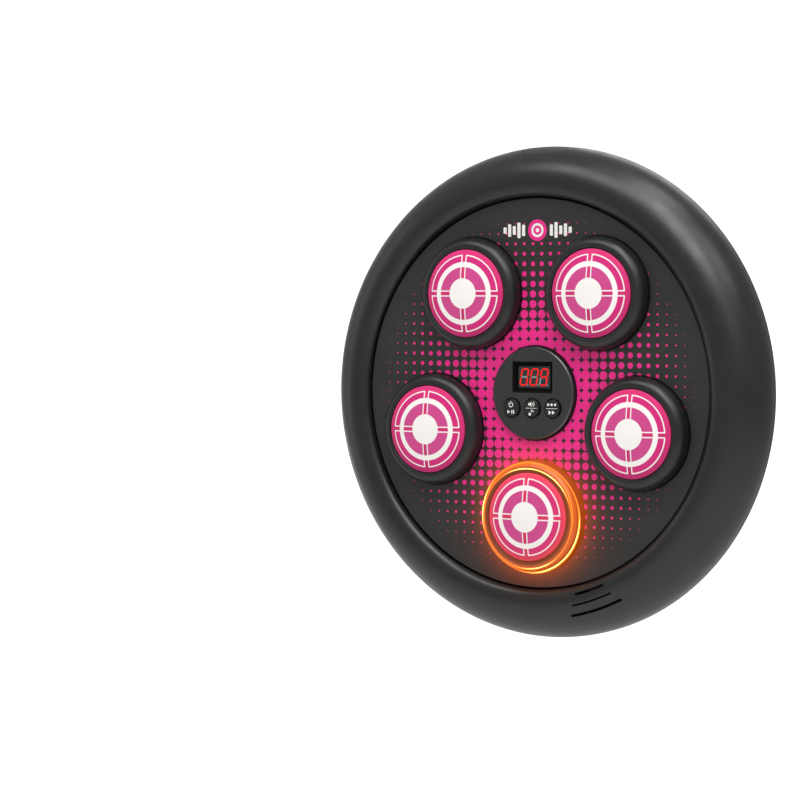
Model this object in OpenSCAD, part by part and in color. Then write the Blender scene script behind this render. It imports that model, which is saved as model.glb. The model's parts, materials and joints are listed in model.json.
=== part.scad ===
// Wall-hung boxing punch machine: a round housing with five sprung striking pads,
// a control panel with a three-digit display, and a stick-on wall plate it hangs on.
// Millimetres. The origin is on the machine's axis, in the plane of the wall.
// +Z is up, +X is right as seen from the front, and the front looks along -Y.
// Each module is drawn lying down: X right, Y up the wall, and Z out of the face
// plate's front, which is Z = 0. upright() then stands the piece against the wall.

/* [Housing] */
// Outer radius of the round housing
rim_r = 197.7; // [190:0.1:245]
// Depth of the rim behind the face plate's front
rim_depth = 30.6; // [29:0.1:40]
// Height of the rim's crest above the face plate
crest_h = 7.5; // [5:0.1:12]
// Width of the lip from the crest in to the face plate's opening
lip_w = 10.9; // [8:0.1:14]
// Height of the straight side wall at the rear of the rim
side_h = 5.1; // [3:0.1:8]
// Exponent of the rim's outer shoulder curve
shoulder_exp = 1.8; // [1.6:0.1:2.4]
// Wall thickness of the housing
shell_t = 2.6; // [2:0.1:3.2]

/* [Face plate] */
// Radius of the face plate
face_r = 155.9; // [152:0.1:162]
// Thickness of the face plate
face_t = 3.0; // [2.5:0.1:3.5]
// Gap round the face plate
face_gap = 1.2; // [0.6:0.1:1.5]
// Thickness of the ledge that carries the face plate
ledge_t = 2.7; // [2:0.1:3.2]
// Width of that ledge
ledge_w = 7.9; // [6:0.1:9]
// Number of screws that hold the face plate and the inner frame
face_screws = 5; // [5, 10]

/* [Striking pads] */
// Distance from the machine's axis to each pad's axis
pad_circle_r = 98.4; // [96:0.1:99]
// Outer radius of a striking pad
pad_r = 45.0; // [36:0.1:45.5]
// Height of a pad's crest above the face plate
pad_h = 13.0; // [11:0.1:16]
// Wall thickness of a pad
pad_t = 2.5; // [2:0.1:3]
// Travel of a pad when it is struck
pad_travel = 4.0; // [2.5:0.1:5]
// Gap between a pad and its hole in the face plate
pad_gap = 0.8; // [0.5:0.1:1.2]
// Width of a pad's retaining flange behind the face plate
pad_flange_w = 3.0; // [2:0.1:3]
// Width of the ring of pad left showing round the domed disc
label_margin = 9.8; // [9.8:0.1:15]
// Rise of the dome above the disc's edge
dome_h = 4.6; // [2:0.1:6]
// Radius of the guide stem behind a pad
stem_r = 6.0; // [4.5:0.1:6.5]
// Running clearance of the stem in its guide
stem_clear = 0.05; // [0.02:0.01:0.1]
// Wire diameter of the return spring
spring_wire = 1.4; // [1:0.1:1.8]
// Number of turns of the return spring
spring_turns = 4; // [3:1:5]

/* [Control panel] */
// Radius of the control panel
panel_r = 37.1; // [36:0.1:41]
// Height of the panel above the face plate
panel_h = 4.5; // [3:0.1:5]
// Wall thickness of the panel
panel_t = 2.5; // [2:0.1:3]
// Width of the display window
window_w = 36.9; // [30:0.1:40]
// Height of the display window
window_h = 25.0; // [20:0.1:26]
// Height of the window's centre above the panel's centre
window_up = 12.8; // [12:0.1:14]
// Depth of the display's face behind the panel's front
window_deep = 2.9; // [2.7:0.1:4]
// How far each of the window's walls slopes in on its way down
window_taper = 2.3; // [1:0.1:2.5]
// Gap round the display in the window's floor
display_gap = 1.2; // [0.8:0.1:1.4]
// Radius of a button's cap
button_r = 6.9; // [5:0.1:7]
// Distance between the buttons
button_pitch = 18.8; // [17.5:0.1:19]
// Distance of the button row below the panel's centre
button_down = 11.9; // [11:0.1:13]
// Travel of a button
button_travel = 0.8; // [0.4:0.1:1]

/* [Charging port] */
// Length of the port's cover across the machine
port_w = 40.0; // [30:0.1:46]
// Angle along the shoulder curve where the cover's front edge lies
port_angle = 37.5; // [30:0.5:45]
// Seam round the port's cover
port_gap = 0.35; // [0.3:0.05:0.6]

/* [Speaker] */
// Direction of the speaker round the rim, from the right-hand side
speaker_angle = -71; // [-80:1:-64]
// Distance from the machine's axis to the speaker's axis
speaker_circle_r = 176; // [174:0.1:177]
// Radius of the speaker
speaker_r = 15; // [12:0.1:15]

/* [Wall plate] */
// Width of the wall plate
plate_w = 130; // [125:1:160]
// Height of the wall plate
plate_h = 90; // [86:1:120]
// Thickness of the wall plate
plate_t = 3.0; // [2.5:0.1:4]
// Thickness of the adhesive strips
tape_t = 1.0; // [0.6:0.1:1.5]
// Distance between the two hanging studs
stud_pitch = 100; // [90:1:110]
// Height of the studs above the machine's axis at rest
stud_up = 36; // [34:1:38]
// How far the machine is lifted to unhook it
lift = 14; // [13:0.5:15]
// Distance between the two screw holes of the wall plate
screw_hole_pitch = 43; // [43:0.5:44]

/* [Hidden] */
PADS = ["top_left", "top_right", "right", "bottom", "left"];
BUTTONS = ["power", "volume", "mode"];
$fn = 96;

seat_gap = 0.3;                  // between pieces that only lie near each other
eps = 0.5;                       // how far a cut runs past a face

// Housing
open_r = face_r + face_gap;      // opening in the rim that the face plate lies in
crest_r = open_r + lip_w;
side_z = side_h - rim_depth;     // where the shoulder starts, at the top of the side wall
curve_steps = 18;
ledge_z = -face_t - ledge_t;     // underside of the ledge
ledge_r = face_r - ledge_w;
pillar_r = 4;
pillar_circle_r = face_r - pillar_r + 0.1;

// Rear cover
cover_t = 2.5;
cover_proud = 1.1;               // how far the cover's middle stands behind the rim
cover_gap = 0.4;
cover_r = rim_r - shell_t - cover_gap;
cover_step_r = cover_r - 9.6;    // edge of the raised middle
cover_back_z = -rim_depth - cover_proud;
cover_in_z = cover_back_z + cover_t;
cover_screws = 6;
cover_screw_circle_r = rim_r - 8.2;
boss_r = 4;
boss_z = cover_t - rim_depth;    // rear ends of the bosses in the rim

// Screws
screw_r = 1.4;
pilot_r = 1.5;
head_r = 2.7;
head_h = 1.8;
small_screw_r = 0.9;
small_pilot_r = 1.0;

// Wall plate
face_up = -cover_back_z + seat_gap + plate_t + tape_t;
plate_front_z = cover_back_z - seat_gap;
neck_r = 2.5;
slot_r = neck_r + 0.3;
stud_r = 5;
entry_r = stud_r + 0.6;
stud_head_t = 2;
tape_w = 34;
wall_screw_r = 2.25;

// Inner frame
frame_z = -12;                   // front of the frame's plate
frame_t = 2.5;
frame_open_r = panel_r + 6.9;
frame_r = face_r;
guide_wall = 2.5;
guide_up = 4;                    // how far a guide stands in front of the frame's plate
guide_floor_t = 1.8;
guide_end_z = cover_in_z + 0.6;
guide_floor_z = guide_end_z + guide_floor_t;

// Pads
crown_w = 7.6;                   // width of a pad's rounded shoulder
crown_z = 3;                     // where the shoulder starts
label_r = pad_r - label_margin;
recess_r = label_r + 0.8;
label_t = 3;
label_seat_z = pad_h - 0.2 - label_t;
pad_flange_z = -face_t - seat_gap;
pad_flange_t = 2.3;
carrier_z = label_seat_z - pad_t;
carrier_t = 3;
switch_body_t = 2.2;
switch_top_z = guide_floor_z + switch_body_t + 1.1;
stem_end_z = switch_top_z + pad_travel + seat_gap;
spring_r = stem_r + guide_wall + 1.3 + spring_wire / 2;
led_count = 12;

// Control panel
panel_hole_r = panel_r + 1.2;
panel_flange_w = 3.9;
panel_flange_t = 2.5;
display_z = panel_h - window_deep;
display_inset = 2 * (window_taper + display_gap);
display_size = [window_w - display_inset, window_h - display_inset];
board_t = 1.6;
board_r = panel_r - 4.1;
panel_posts = [[28, -2], [-28, -2], [0, -28.5]];
button_gap = 1.1;
tact_t = 3.5;
tact_top_z = frame_z + tact_t + 0.6;

// Charging port: a frame whose Z stands square on the shoulder, at the middle of the cover
port_front = shoulder_point(port_angle, 0);
port_back = shoulder_point(0, 0);
port_mid = (port_front + port_back) / 2;
port_run = norm(port_back - port_front);
port_tilt = atan2(port_back[0] - port_front[0], port_front[1] - port_back[1]);
port_floor_z = -2.4;
port_floor_t = 2;
port_board_z = -9.5;
port_post_x = 13;

// Main board and battery, on the rear side of the inner frame and on the rear cover
main_board_at = [0, 73];
main_board_size = [68, 42];
main_post_h = 5;
battery_at = [0, -40];
battery_size = [60, 40, 9];
battery_corner_r = 3;

// A point of the rim's outer shoulder, from its side wall (0) to its crest (90)
function shoulder_point(angle, inset) = [
    crest_r + (rim_r - crest_r - inset) * pow(cos(angle), 2 / shoulder_exp),
    side_z + (crest_h - side_z - inset) * pow(sin(angle), 2 / shoulder_exp)
];

// A point of the rolled lip, from the crest (90) in to the face plate's opening (0)
function lip_point(angle, inset) = [
    crest_r - (lip_w - inset) * cos(angle),
    (crest_h - inset) * sin(angle)
];

// The rim's section, moved into its wall by inset, from rear_z over the crest
function rim_outline(inset, rear_z) = concat(
    [[rim_r - inset, rear_z]],
    [for (i = [0 : curve_steps]) shoulder_point(90 * i / curve_steps, inset)],
    [for (i = [1 : curve_steps]) lip_point(90 - 90 * i / curve_steps, inset)]
);

function reversed(points) = [for (i = [len(points) - 1 : -1 : 0]) points[i]];

function on_circle(radius, angle) = [radius * cos(angle), radius * sin(angle), 0];

function pad_at(i) = on_circle(pad_circle_r, 126 - 72 * i);

// Stands a lying piece upright, with the wall at Y = 0
module upright() {
    translate([0, -face_up, 0])
        rotate([90, 0, 0])
            children();
}

// Places its children round the machine's axis
module ring_of(count, radius, first) {
    for (i = [0 : count - 1])
        translate(on_circle(radius, first + 360 * i / count))
            children();
}

module tube(r_out, r_in, low, high) {
    translate([0, 0, low])
        difference() {
            cylinder(r = r_out, h = high - low);
            translate([0, 0, -eps])
                cylinder(r = r_in, h = high - low + 2 * eps);
        }
}

module rod(radius, low, high) {
    translate([0, 0, low])
        cylinder(r = radius, h = high - low);
}

module block(size, low, high) {
    translate([-size[0] / 2, -size[1] / 2, low])
        cube([size[0], size[1], high - low]);
}

module rounded_block(size, corner, low, high) {
    block([size[0] - 2 * corner, size[1]], low, high);
    block([size[0], size[1] - 2 * corner], low, high);
    for (x = [-1, 1], y = [-1, 1])
        translate([x * (size[0] / 2 - corner), y * (size[1] / 2 - corner), 0])
            rod(corner, low, high);
}

// A pan-head screw driven towards +Z, with its head's seat at Z = 0
module pan_screw(radius, head, head_t, run) {
    rod(radius, -eps, run);
    difference() {
        rod(head, -head_t, 0);
        for (turn = [0, 90])
            rotate(turn)
                block([head * 1.1, head * 0.28], -head_t - eps, -head_t * 0.45);
    }
}

// The space in front of the rear cover and inside the rim, reaching half-way into its wall
module rim_core() {
    rotate_extrude($fn = 160)
        polygon(concat(rim_outline(shell_t / 2, boss_z), [[open_r + shell_t / 2, boss_z]]));
}

// Everything up to the rim's outer surface
module rim_solid() {
    rotate_extrude($fn = 160)
        polygon(concat(rim_outline(0, -rim_depth), [[open_r, -rim_depth]]));
}

module port_frame() {
    translate([0, port_mid[0], port_mid[1]])
        rotate([port_tilt - 90, 0, 0])
            children();
}

// The port cover's oval outline, grown by grow
module port_oval(grow, low, high) {
    half_run = port_run / 2 + grow;
    half_w = port_w / 2 + grow;
    for (side = [-1, 1])
        translate([side * (half_w - half_run), 0, 0])
            rod(half_run, low, high);
    block([2 * (half_w - half_run), 2 * half_run], low, high);
}

// A curved slot through the rim's front, centred in the speaker's direction
module sound_slot(radius, run, width) {
    half_turn = run / radius * 90 / PI;
    bottom = -6;
    top = crest_h + eps;
    rotate(speaker_angle - half_turn)
        rotate_extrude(angle = 2 * half_turn, $fn = 160)
            translate([radius - width / 2, bottom])
                square([width, top - bottom]);
    for (end = [-1, 1])
        translate(on_circle(radius, speaker_angle + end * half_turn))
            rod(width / 2, bottom, top);
}

module rim_shell() {
    section = concat(
        rim_outline(0, -rim_depth),
        [[open_r, -face_t], [ledge_r, -face_t], [ledge_r, ledge_z]],
        [[open_r + shell_t, ledge_z]],
        reversed(rim_outline(shell_t, -rim_depth))
    );
    color([0.22, 0.23, 0.23])
        upright()
            difference() {
                union() {
                    rotate_extrude($fn = 160)
                        polygon(section);
                    intersection() {
                        rim_core();
                        union() {
                            ring_of(cover_screws, cover_screw_circle_r, 0)
                                rod(boss_r, boss_z, crest_h);
                            translate(on_circle(speaker_circle_r, speaker_angle))
                                tube(speaker_r + 0.8, speaker_r - 1.8, frame_z, crest_h);
                            port_frame() {
                                port_oval(2.2, port_floor_z - port_floor_t, 8);
                                for (x = [-port_post_x, port_post_x])
                                    translate([x, 0, 0])
                                        rod(2.6, port_board_z, 0);
                            }
                        }
                    }
                }
                ring_of(cover_screws, cover_screw_circle_r, 0)
                    rod(pilot_r, boss_z - eps, boss_z + 9);
                ring_of(face_screws, pillar_circle_r, 90)
                    rod(pilot_r, ledge_z - eps, -face_t + eps);
                port_frame() {
                    port_oval(port_gap, port_floor_z, 12);
                    rounded_block([9.8, 4.2], 2.05, port_floor_z - 3, port_floor_z + 1);
                    for (x = [-port_post_x, port_post_x])
                        translate([x, 0, 0])
                            rod(small_pilot_r, port_board_z - eps, port_board_z + 4);
                }
                sound_slot(163.7, 25, 2.2);
                sound_slot(172, 36, 1.4);
                sound_slot(179.9, 46, 2.2);
            }
}

module face_plate() {
    bevel = 0.6;
    color([0.22, 0.22, 0.21])
        upright()
            difference() {
                rotate_extrude($fn = 160)
                    polygon([
                        [0, -face_t], [face_r, -face_t], [face_r, -bevel],
                        [face_r - bevel, 0], [0, 0]
                    ]);
                rod(panel_hole_r, -face_t - eps, eps);
                for (i = [0 : len(PADS) - 1])
                    translate(pad_at(i))
                        rod(pad_r + pad_gap, -face_t - eps, eps);
                ring_of(face_screws, pillar_circle_r, 90)
                    rod(pilot_r, -face_t - eps, -face_t + 2.2);
            }
}

// A striking pad: a cap with a rolled shoulder, a recess for its disc and a rear flange
module strike_pad(i) {
    flange_r = pad_r + pad_flange_w;
    crown_r = pad_r - crown_w;
    crown = [for (a = [0 : 10 : 90]) [crown_r + crown_w * cos(a), crown_z + (pad_h - crown_z) * sin(a)]];
    color([0.20, 0.21, 0.21])
        upright()
            translate(pad_at(i))
                rotate_extrude()
                    polygon(concat(
                        [[flange_r, pad_flange_z - pad_flange_t], [flange_r, pad_flange_z]],
                        [[pad_r, pad_flange_z]],
                        crown,
                        [[recess_r + 0.7, pad_h], [recess_r, pad_h - 0.7], [recess_r, label_seat_z]],
                        [[0, label_seat_z], [0, carrier_z], [pad_r - pad_t - 7, carrier_z]],
                        [[pad_r - pad_t - 0.4, crown_z - 1]],
                        [[pad_r - pad_t - 0.4, pad_flange_z - pad_flange_t]]
                    ));
}

// The printed disc on a pad, with a shallow domed front
module pad_label(i) {
    edge_z = label_seat_z + label_t;
    dome_r = (label_r * label_r + dome_h * dome_h) / (2 * dome_h);
    dome_edge = asin(label_r / dome_r);
    steps = 8;
    dome = [for (s = [0 : steps]) let (a = dome_edge * (1 - s / steps))
        [dome_r * sin(a), edge_z + dome_h - dome_r * (1 - cos(a))]];
    color([0.88, 0.23, 0.52])
        upright()
            translate(pad_at(i))
                rotate_extrude()
                    polygon(concat([[0, label_seat_z], [label_r, label_seat_z]], dome));
}

// The plate and guide stem that carry a pad
module pad_carrier(i) {
    plate_r = pad_r - pad_t - 8.5;
    color([0.85, 0.85, 0.83])
        upright()
            translate(pad_at(i)) {
                rod(plate_r, carrier_z - carrier_t, carrier_z);
                rod(stem_r, stem_end_z, carrier_z - carrier_t + eps);
            }
}

// Points of a ring of the spring's wire, at a turn angle round the spring's axis
function wire_ring(angle, height, sides) = [
    for (s = [0 : sides - 1]) let (a = 360 * s / sides, r = spring_r + spring_wire / 2 * cos(a))
        [r * cos(angle), r * sin(angle), height + spring_wire / 2 * sin(a)]
];

// A helical wire from low to high, with closed ends
module helix(low, high) {
    sides = 6;
    per_turn = 18;
    rings = spring_turns * per_turn;
    rise = (high - low) / rings;
    points = [for (k = [0 : rings], p = wire_ring(360 * k / per_turn, low + rise * k, sides)) p];
    walls = [for (k = [0 : rings - 1], s = [0 : sides - 1]) let (t = (s + 1) % sides)
        [k * sides + s, k * sides + t, (k + 1) * sides + t, (k + 1) * sides + s]];
    first = [for (s = [sides - 1 : -1 : 0]) s];
    last = [for (s = [0 : sides - 1]) rings * sides + s];
    polyhedron(points, concat(walls, [first, last]));
}

module pad_spring(i) {
    rest = spring_wire / 2 + 0.1;
    color([0.75, 0.76, 0.78])
        upright()
            translate(pad_at(i))
                helix(frame_z + rest, carrier_z - carrier_t - rest);
}

// The ring-shaped board with the lamps that light a pad from behind
module led_ring(i) {
    ring_r = pad_r - 5;
    lamp_r = ring_r - 3;
    color([0.92, 0.93, 0.90])
        upright()
            translate(pad_at(i)) {
                tube(ring_r, spring_r + 11, frame_z, frame_z + board_t);
                ring_of(led_count, lamp_r, 0)
                    block([3.2, 2.8], frame_z + board_t - 0.1, frame_z + board_t + 1.1);
            }
}

// The switch at the bottom of a pad's guide
module pad_switch(i) {
    color([0.15, 0.15, 0.16])
        upright()
            translate(pad_at(i)) {
                rod(stem_r - 0.4, guide_floor_z, guide_floor_z + switch_body_t);
                rod(1.75, guide_floor_z, switch_top_z);
            }
}

// The window's opening, whose four walls slope in towards the display
module window_opening() {
    reach = 20;
    difference() {
        block([window_w, window_h], display_z - eps, panel_h + eps);
        for (turn = [0, 90, 180, 270])
            rotate(turn)
                translate([(turn % 180 == 0 ? window_w : window_h) / 2, 0, panel_h])
                    rotate([0, atan(window_taper / window_deep), 0])
                        translate([0, -window_w, -reach])
                            cube([reach, 2 * window_w, reach]);
    }
}

module control_panel() {
    flange_r = panel_r + panel_flange_w;
    flange_z = -face_t - panel_flange_t;
    under_z = panel_h - panel_t;
    bevel = 1;
    tunnel = [window_w + 2.4, window_h + 2.4];
    hole_r = button_r + button_gap;
    dish = 0.2;
    color([0.23, 0.24, 0.24])
        upright()
            difference() {
                union() {
                    rotate_extrude()
                        polygon([
                            [panel_r - panel_t, flange_z], [flange_r, flange_z], [flange_r, -face_t],
                            [panel_r, -face_t], [panel_r, panel_h - bevel], [panel_r - bevel, panel_h],
                            [0, panel_h], [0, under_z], [panel_r - panel_t, under_z]
                        ]);
                    translate([0, window_up, 0])
                        block(tunnel, display_z, under_z + eps);
                    for (at = panel_posts)
                        translate(at)
                            rod(3, frame_z, under_z + eps);
                }
                translate([0, window_up, 0])
                    window_opening();
                for (x = [-1, 0, 1])
                    translate([x * button_pitch, -button_down, 0]) {
                        rod(hole_r, under_z - eps, panel_h + eps);
                        translate([0, 0, panel_h - dish])
                            cylinder(r1 = hole_r, r2 = hole_r + dish + eps, h = dish + eps);
                    }
                for (at = panel_posts)
                    translate(at)
                        rod(small_pilot_r, frame_z - eps, frame_z + 6);
            }
}

// A push button: domed cap, retaining flange behind the panel, and stem to its switch
module button_cap(i) {
    flange_r = button_r + 2.1;
    flange_top = panel_h - panel_t - seat_gap;
    flange_t = 1.2;
    edge_z = panel_h + 1.3;
    dome_rise = 0.7;
    stem_end = tact_top_z + button_travel + 0.2;
    dome = [for (a = [0 : 15 : 90]) [(button_r - 0.6) + 0.6 * cos(a), edge_z + 0.5 * sin(a)]];
    color([0.24, 0.25, 0.25])
        upright()
            translate([(i - 1) * button_pitch, -button_down, 0])
                rotate_extrude()
                    polygon(concat(
                        [[0, stem_end], [2, stem_end], [2, flange_top - flange_t]],
                        [[flange_r, flange_top - flange_t], [flange_r, flange_top]],
                        [[button_r, flange_top]],
                        dome,
                        [[button_r * 0.5, edge_z + dome_rise - 0.05], [0, edge_z + dome_rise]]
                    ));
}

module tact_switches() {
    color([0.15, 0.15, 0.16])
        upright()
            for (i = [-1, 0, 1])
                translate([i * button_pitch, -button_down, 0]) {
                    block([6, 6], frame_z, frame_z + tact_t);
                    rod(1.75, frame_z, tact_top_z);
                }
}

// The three-digit display, a dark block with a raised edge round its face
module display_module() {
    edge = 1.2;
    face = [display_size[0] - edge, display_size[1] - edge];
    color([0.10, 0.10, 0.11])
        upright()
            translate([0, window_up, 0])
                difference() {
                    block(display_size, frame_z, display_z);
                    block(face, display_z - 0.3, display_z + eps);
                }
}

module control_board() {
    color([0.10, 0.35, 0.20])
        upright()
            difference() {
                union() {
                    rod(board_r, frame_z - board_t, frame_z);
                    translate([-8, 2, 0])
                        block([10, 10], frame_z - board_t - 1.6, frame_z - board_t + 0.1);
                    translate([10, 4, 0])
                        block([12, 5], frame_z - board_t - 3.5, frame_z - board_t + 0.1);
                }
                for (at = panel_posts)
                    translate(at)
                        rod(small_pilot_r + 0.2, frame_z - board_t - eps, frame_z + eps);
            }
}

module control_board_screws() {
    color([0.75, 0.76, 0.78])
        upright()
            for (at = panel_posts)
                translate([at[0], at[1], frame_z - board_t])
                    pan_screw(small_screw_r, 1.9, 1.3, board_t + 5);
}

// The inner frame: a plate with the pads' guides, the face screws' pillars and board posts
module mid_frame() {
    guide_r = stem_r + guide_wall;
    color([0.30, 0.31, 0.32])
        upright()
            difference() {
                union() {
                    tube(frame_r, frame_open_r, frame_z - frame_t, frame_z);
                    for (i = [0 : len(PADS) - 1])
                        translate(pad_at(i))
                            rod(guide_r, guide_end_z, frame_z + guide_up);
                    ring_of(face_screws, pillar_circle_r, 90)
                        rod(pillar_r, frame_z - eps, ledge_z);
                    main_board_corners()
                        rod(3, frame_z - frame_t - main_post_h, frame_z - eps);
                }
                for (i = [0 : len(PADS) - 1])
                    translate(pad_at(i))
                        rod(stem_r + stem_clear, guide_floor_z, frame_z + guide_up + eps);
                ring_of(face_screws, pillar_circle_r, 90)
                    rod(pilot_r, frame_z - frame_t - eps, ledge_z + eps);
                main_board_corners()
                    rod(small_pilot_r, frame_z - frame_t - main_post_h - eps, frame_z - frame_t);
            }
}

module main_board_corners() {
    inset = 4;
    for (x = [-1, 1], y = [-1, 1])
        translate([
            main_board_at[0] + x * (main_board_size[0] / 2 - inset),
            main_board_at[1] + y * (main_board_size[1] / 2 - inset),
            0
        ])
            children();
}

module mid_frame_screws() {
    run = frame_t - frame_z + ledge_z + ledge_t + 1.8;
    color([0.75, 0.76, 0.78])
        upright()
            ring_of(face_screws, pillar_circle_r, 90)
                translate([0, 0, frame_z - frame_t])
                    pan_screw(screw_r, head_r, head_h, run);
}

// The board with the amplifier, the charger and the counter
module main_board() {
    top = frame_z - frame_t - main_post_h;
    low = top - board_t;
    color([0.10, 0.35, 0.20])
        upright()
            difference() {
                translate([main_board_at[0], main_board_at[1], 0]) {
                    block(main_board_size, low, top);
                    translate([-12, 4, 0])
                        block([14, 14], low - 1.8, low + 0.1);
                    translate([10, 8, 0])
                        block([8, 6], low - 1.6, low + 0.1);
                    for (x = [4, 14])
                        translate([x, -6, 0])
                            rod(2.5, low - 4, low + 0.1);
                    translate([0, 17, 0])
                        block([8, 5], low - 3.4, low + 0.1);
                    for (x = [-20, 20])
                        translate([x, -16, 0])
                            block([8, 5], low - 3.4, low + 0.1);
                }
                main_board_corners()
                    rod(small_pilot_r + 0.2, low - eps, top + eps);
            }
}

module main_board_screws() {
    color([0.75, 0.76, 0.78])
        upright()
            main_board_corners()
                translate([0, 0, frame_z - frame_t - main_post_h - board_t])
                    pan_screw(small_screw_r, 1.9, 1.3, board_t + 4);
}

// A flat rechargeable cell that lies in the tray of the rear cover
module battery_pack() {
    color([0.25, 0.40, 0.70])
        upright()
            translate([battery_at[0], battery_at[1], 0])
                rounded_block(battery_size, battery_corner_r, cover_in_z, cover_in_z + battery_size[2]);
}

// The loudspeaker: cone frame, basket and magnet, facing the slots in the rim
module speaker() {
    color([0.12, 0.12, 0.13])
        upright()
            translate(on_circle(speaker_circle_r, speaker_angle) + [0, 0, frame_z])
                rotate_extrude()
                    polygon([
                        [0, -1.6], [4, -1.6], [speaker_r - 3, -0.4], [speaker_r - 2, 0],
                        [speaker_r, 0], [speaker_r, -1.2], [speaker_r - 1.5, -1.2],
                        [speaker_r - 6, -6], [speaker_r - 6.5, -6], [speaker_r - 6.5, -10], [0, -10]
                    ]);
}

module charge_board() {
    color([0.10, 0.35, 0.20])
        upright()
            port_frame()
                difference() {
                    block([34, 11], port_board_z - board_t, port_board_z);
                    for (x = [-port_post_x, port_post_x])
                        translate([x, 0, 0])
                            rod(small_pilot_r + 0.2, port_board_z - board_t - eps, port_board_z + eps);
                }
}

module charge_board_screws() {
    color([0.75, 0.76, 0.78])
        upright()
            port_frame()
                for (x = [-port_post_x, port_post_x])
                    translate([x, 0, port_board_z - board_t])
                        pan_screw(small_screw_r, 1.9, 1.3, board_t + 3.5);
}

// The upright charging socket behind the port's cover
module usb_socket() {
    mouth_z = port_floor_z - 0.2;
    wall = 0.35;
    color([0.78, 0.79, 0.80])
        upright()
            port_frame() {
                difference() {
                    rounded_block([9, 3.3], 1.6, port_board_z, mouth_z);
                    rounded_block([9 - 2 * wall, 3.3 - 2 * wall], 1.25, port_board_z + 1, mouth_z + eps);
                }
                block([6.6, 0.7], port_board_z + 0.5, mouth_z - 0.8);
            }
}

// The soft cover of the charging port, flush with the rim
module port_cover() {
    color([0.17, 0.18, 0.18])
        upright()
            intersection() {
                rim_solid();
                port_frame()
                    port_oval(0, port_floor_z + 0.2, 12);
            }
}

module rear_cover() {
    hollow_r = cover_step_r - 2;
    tray_wall = 1.6;
    tray_h = 5;
    tray = [battery_size[0] + 2 * seat_gap, battery_size[1] + 2 * seat_gap];
    color([0.16, 0.17, 0.17])
        upright()
            difference() {
                union() {
                    rotate_extrude($fn = 160)
                        polygon([
                            [0, cover_back_z], [cover_step_r - cover_proud, cover_back_z],
                            [cover_step_r, -rim_depth], [cover_r, -rim_depth], [cover_r, boss_z],
                            [hollow_r + cover_proud, boss_z], [hollow_r, cover_in_z], [0, cover_in_z]
                        ]);
                    translate([battery_at[0], battery_at[1], 0])
                        difference() {
                            rounded_block(
                                [tray[0] + 2 * tray_wall, tray[1] + 2 * tray_wall],
                                battery_corner_r + tray_wall, cover_in_z - 0.2, cover_in_z + tray_h
                            );
                            rounded_block(tray, battery_corner_r, cover_in_z, cover_in_z + tray_h + eps);
                        }
                }
                for (x = [-1, 1])
                    translate([x * stud_pitch / 2, stud_up, 0]) {
                        rod(slot_r, cover_back_z - eps, cover_in_z + eps);
                        translate([0, -lift / 2, 0])
                            block([2 * slot_r, lift], cover_back_z - eps, cover_in_z + eps);
                        translate([0, -lift, 0])
                            rod(entry_r, cover_back_z - eps, cover_in_z + eps);
                    }
                ring_of(cover_screws, cover_screw_circle_r, 0)
                    rod(pilot_r, -rim_depth - eps, boss_z + eps);
            }
}

module rear_cover_screws() {
    color([0.75, 0.76, 0.78])
        upright()
            ring_of(cover_screws, cover_screw_circle_r, 0)
                translate([0, 0, -rim_depth])
                    pan_screw(screw_r, head_r, head_h, cover_t + 8);
}

// The plate that stays on the wall, with the two studs that the machine hangs on
module wall_plate() {
    back_z = plate_front_z - plate_t;
    head_z = cover_in_z + seat_gap;
    color([0.90, 0.90, 0.89])
        upright()
            difference() {
                union() {
                    rounded_block([plate_w, plate_h], 10, back_z, plate_front_z);
                    for (x = [-1, 1])
                        translate([x * stud_pitch / 2, stud_up, 0]) {
                            rod(neck_r, plate_front_z - eps, head_z + eps);
                            rod(stud_r, head_z, head_z + stud_head_t);
                        }
                }
                for (x = [-1, 1])
                    translate([x * screw_hole_pitch / 2, 0, 0])
                        rod(wall_screw_r, back_z - eps, plate_front_z + eps);
            }
}

// Double-sided adhesive that sticks the wall plate to the wall
module adhesive_strips() {
    color([0.80, 0.78, 0.70])
        upright()
            for (x = [-1, 0, 1])
                translate([x * screw_hole_pitch, 0, 0])
                    rounded_block([tape_w, plate_h - 12], 2, -face_up, -face_up + tape_t);
}

// Flat cables from the control board out to the five lamp rings
module led_ribbons() {
    inner_r = board_r - 0.9;
    outer_r = pad_circle_r - (pad_r - 5) - 0.2;
    notch = [display_size[0] + seat_gap, display_size[1] + seat_gap];
    color([0.85, 0.85, 0.80])
        upright()
            difference() {
                for (i = [0 : len(PADS) - 1])
                    rotate(126 - 72 * i)
                        translate([(inner_r + outer_r) / 2, 0, 0])
                            block([outer_r - inner_r, 6], frame_z, frame_z + 0.6);
                translate([0, window_up, 0])
                    block(notch, frame_z - eps, frame_z + 1);
            }
}

// A sleeved lead through the points of its route, a little fuller at its bends
module lead(route) {
    lead_r = 1;
    bend_r = 1.2;
    for (k = [0 : len(route) - 2]) {
        step = route[k + 1] - route[k];
        translate(route[k])
            rotate([0, acos(step[2] / norm(step)), atan2(step[1], step[0])])
                cylinder(r = lead_r, h = norm(step), $fn = 24);
    }
    for (k = [1 : len(route) - 2])
        translate(route[k])
            sphere(r = bend_r, $fn = 24);
}

lead_z = frame_z - frame_t - main_post_h - board_t - 1.2;

module battery_lead() {
    cell_edge = battery_at[1] + battery_size[1] / 2;
    cell_top_z = cover_in_z + battery_size[2];
    color([0.70, 0.15, 0.12])
        upright()
            lead([[-20, cell_edge, min(lead_z, cell_top_z - 0.6)], [-20, 53.5, lead_z]]);
}

module speaker_lead() {
    color([0.15, 0.15, 0.15])
        upright()
            lead([
                on_circle(speaker_circle_r - speaker_r + 6, speaker_angle) + [0, 0, lead_z],
                [46, -110, lead_z], [56, -60, lead_z], [38, 0, lead_z], [20, 53.5, lead_z]
            ]);
}

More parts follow.
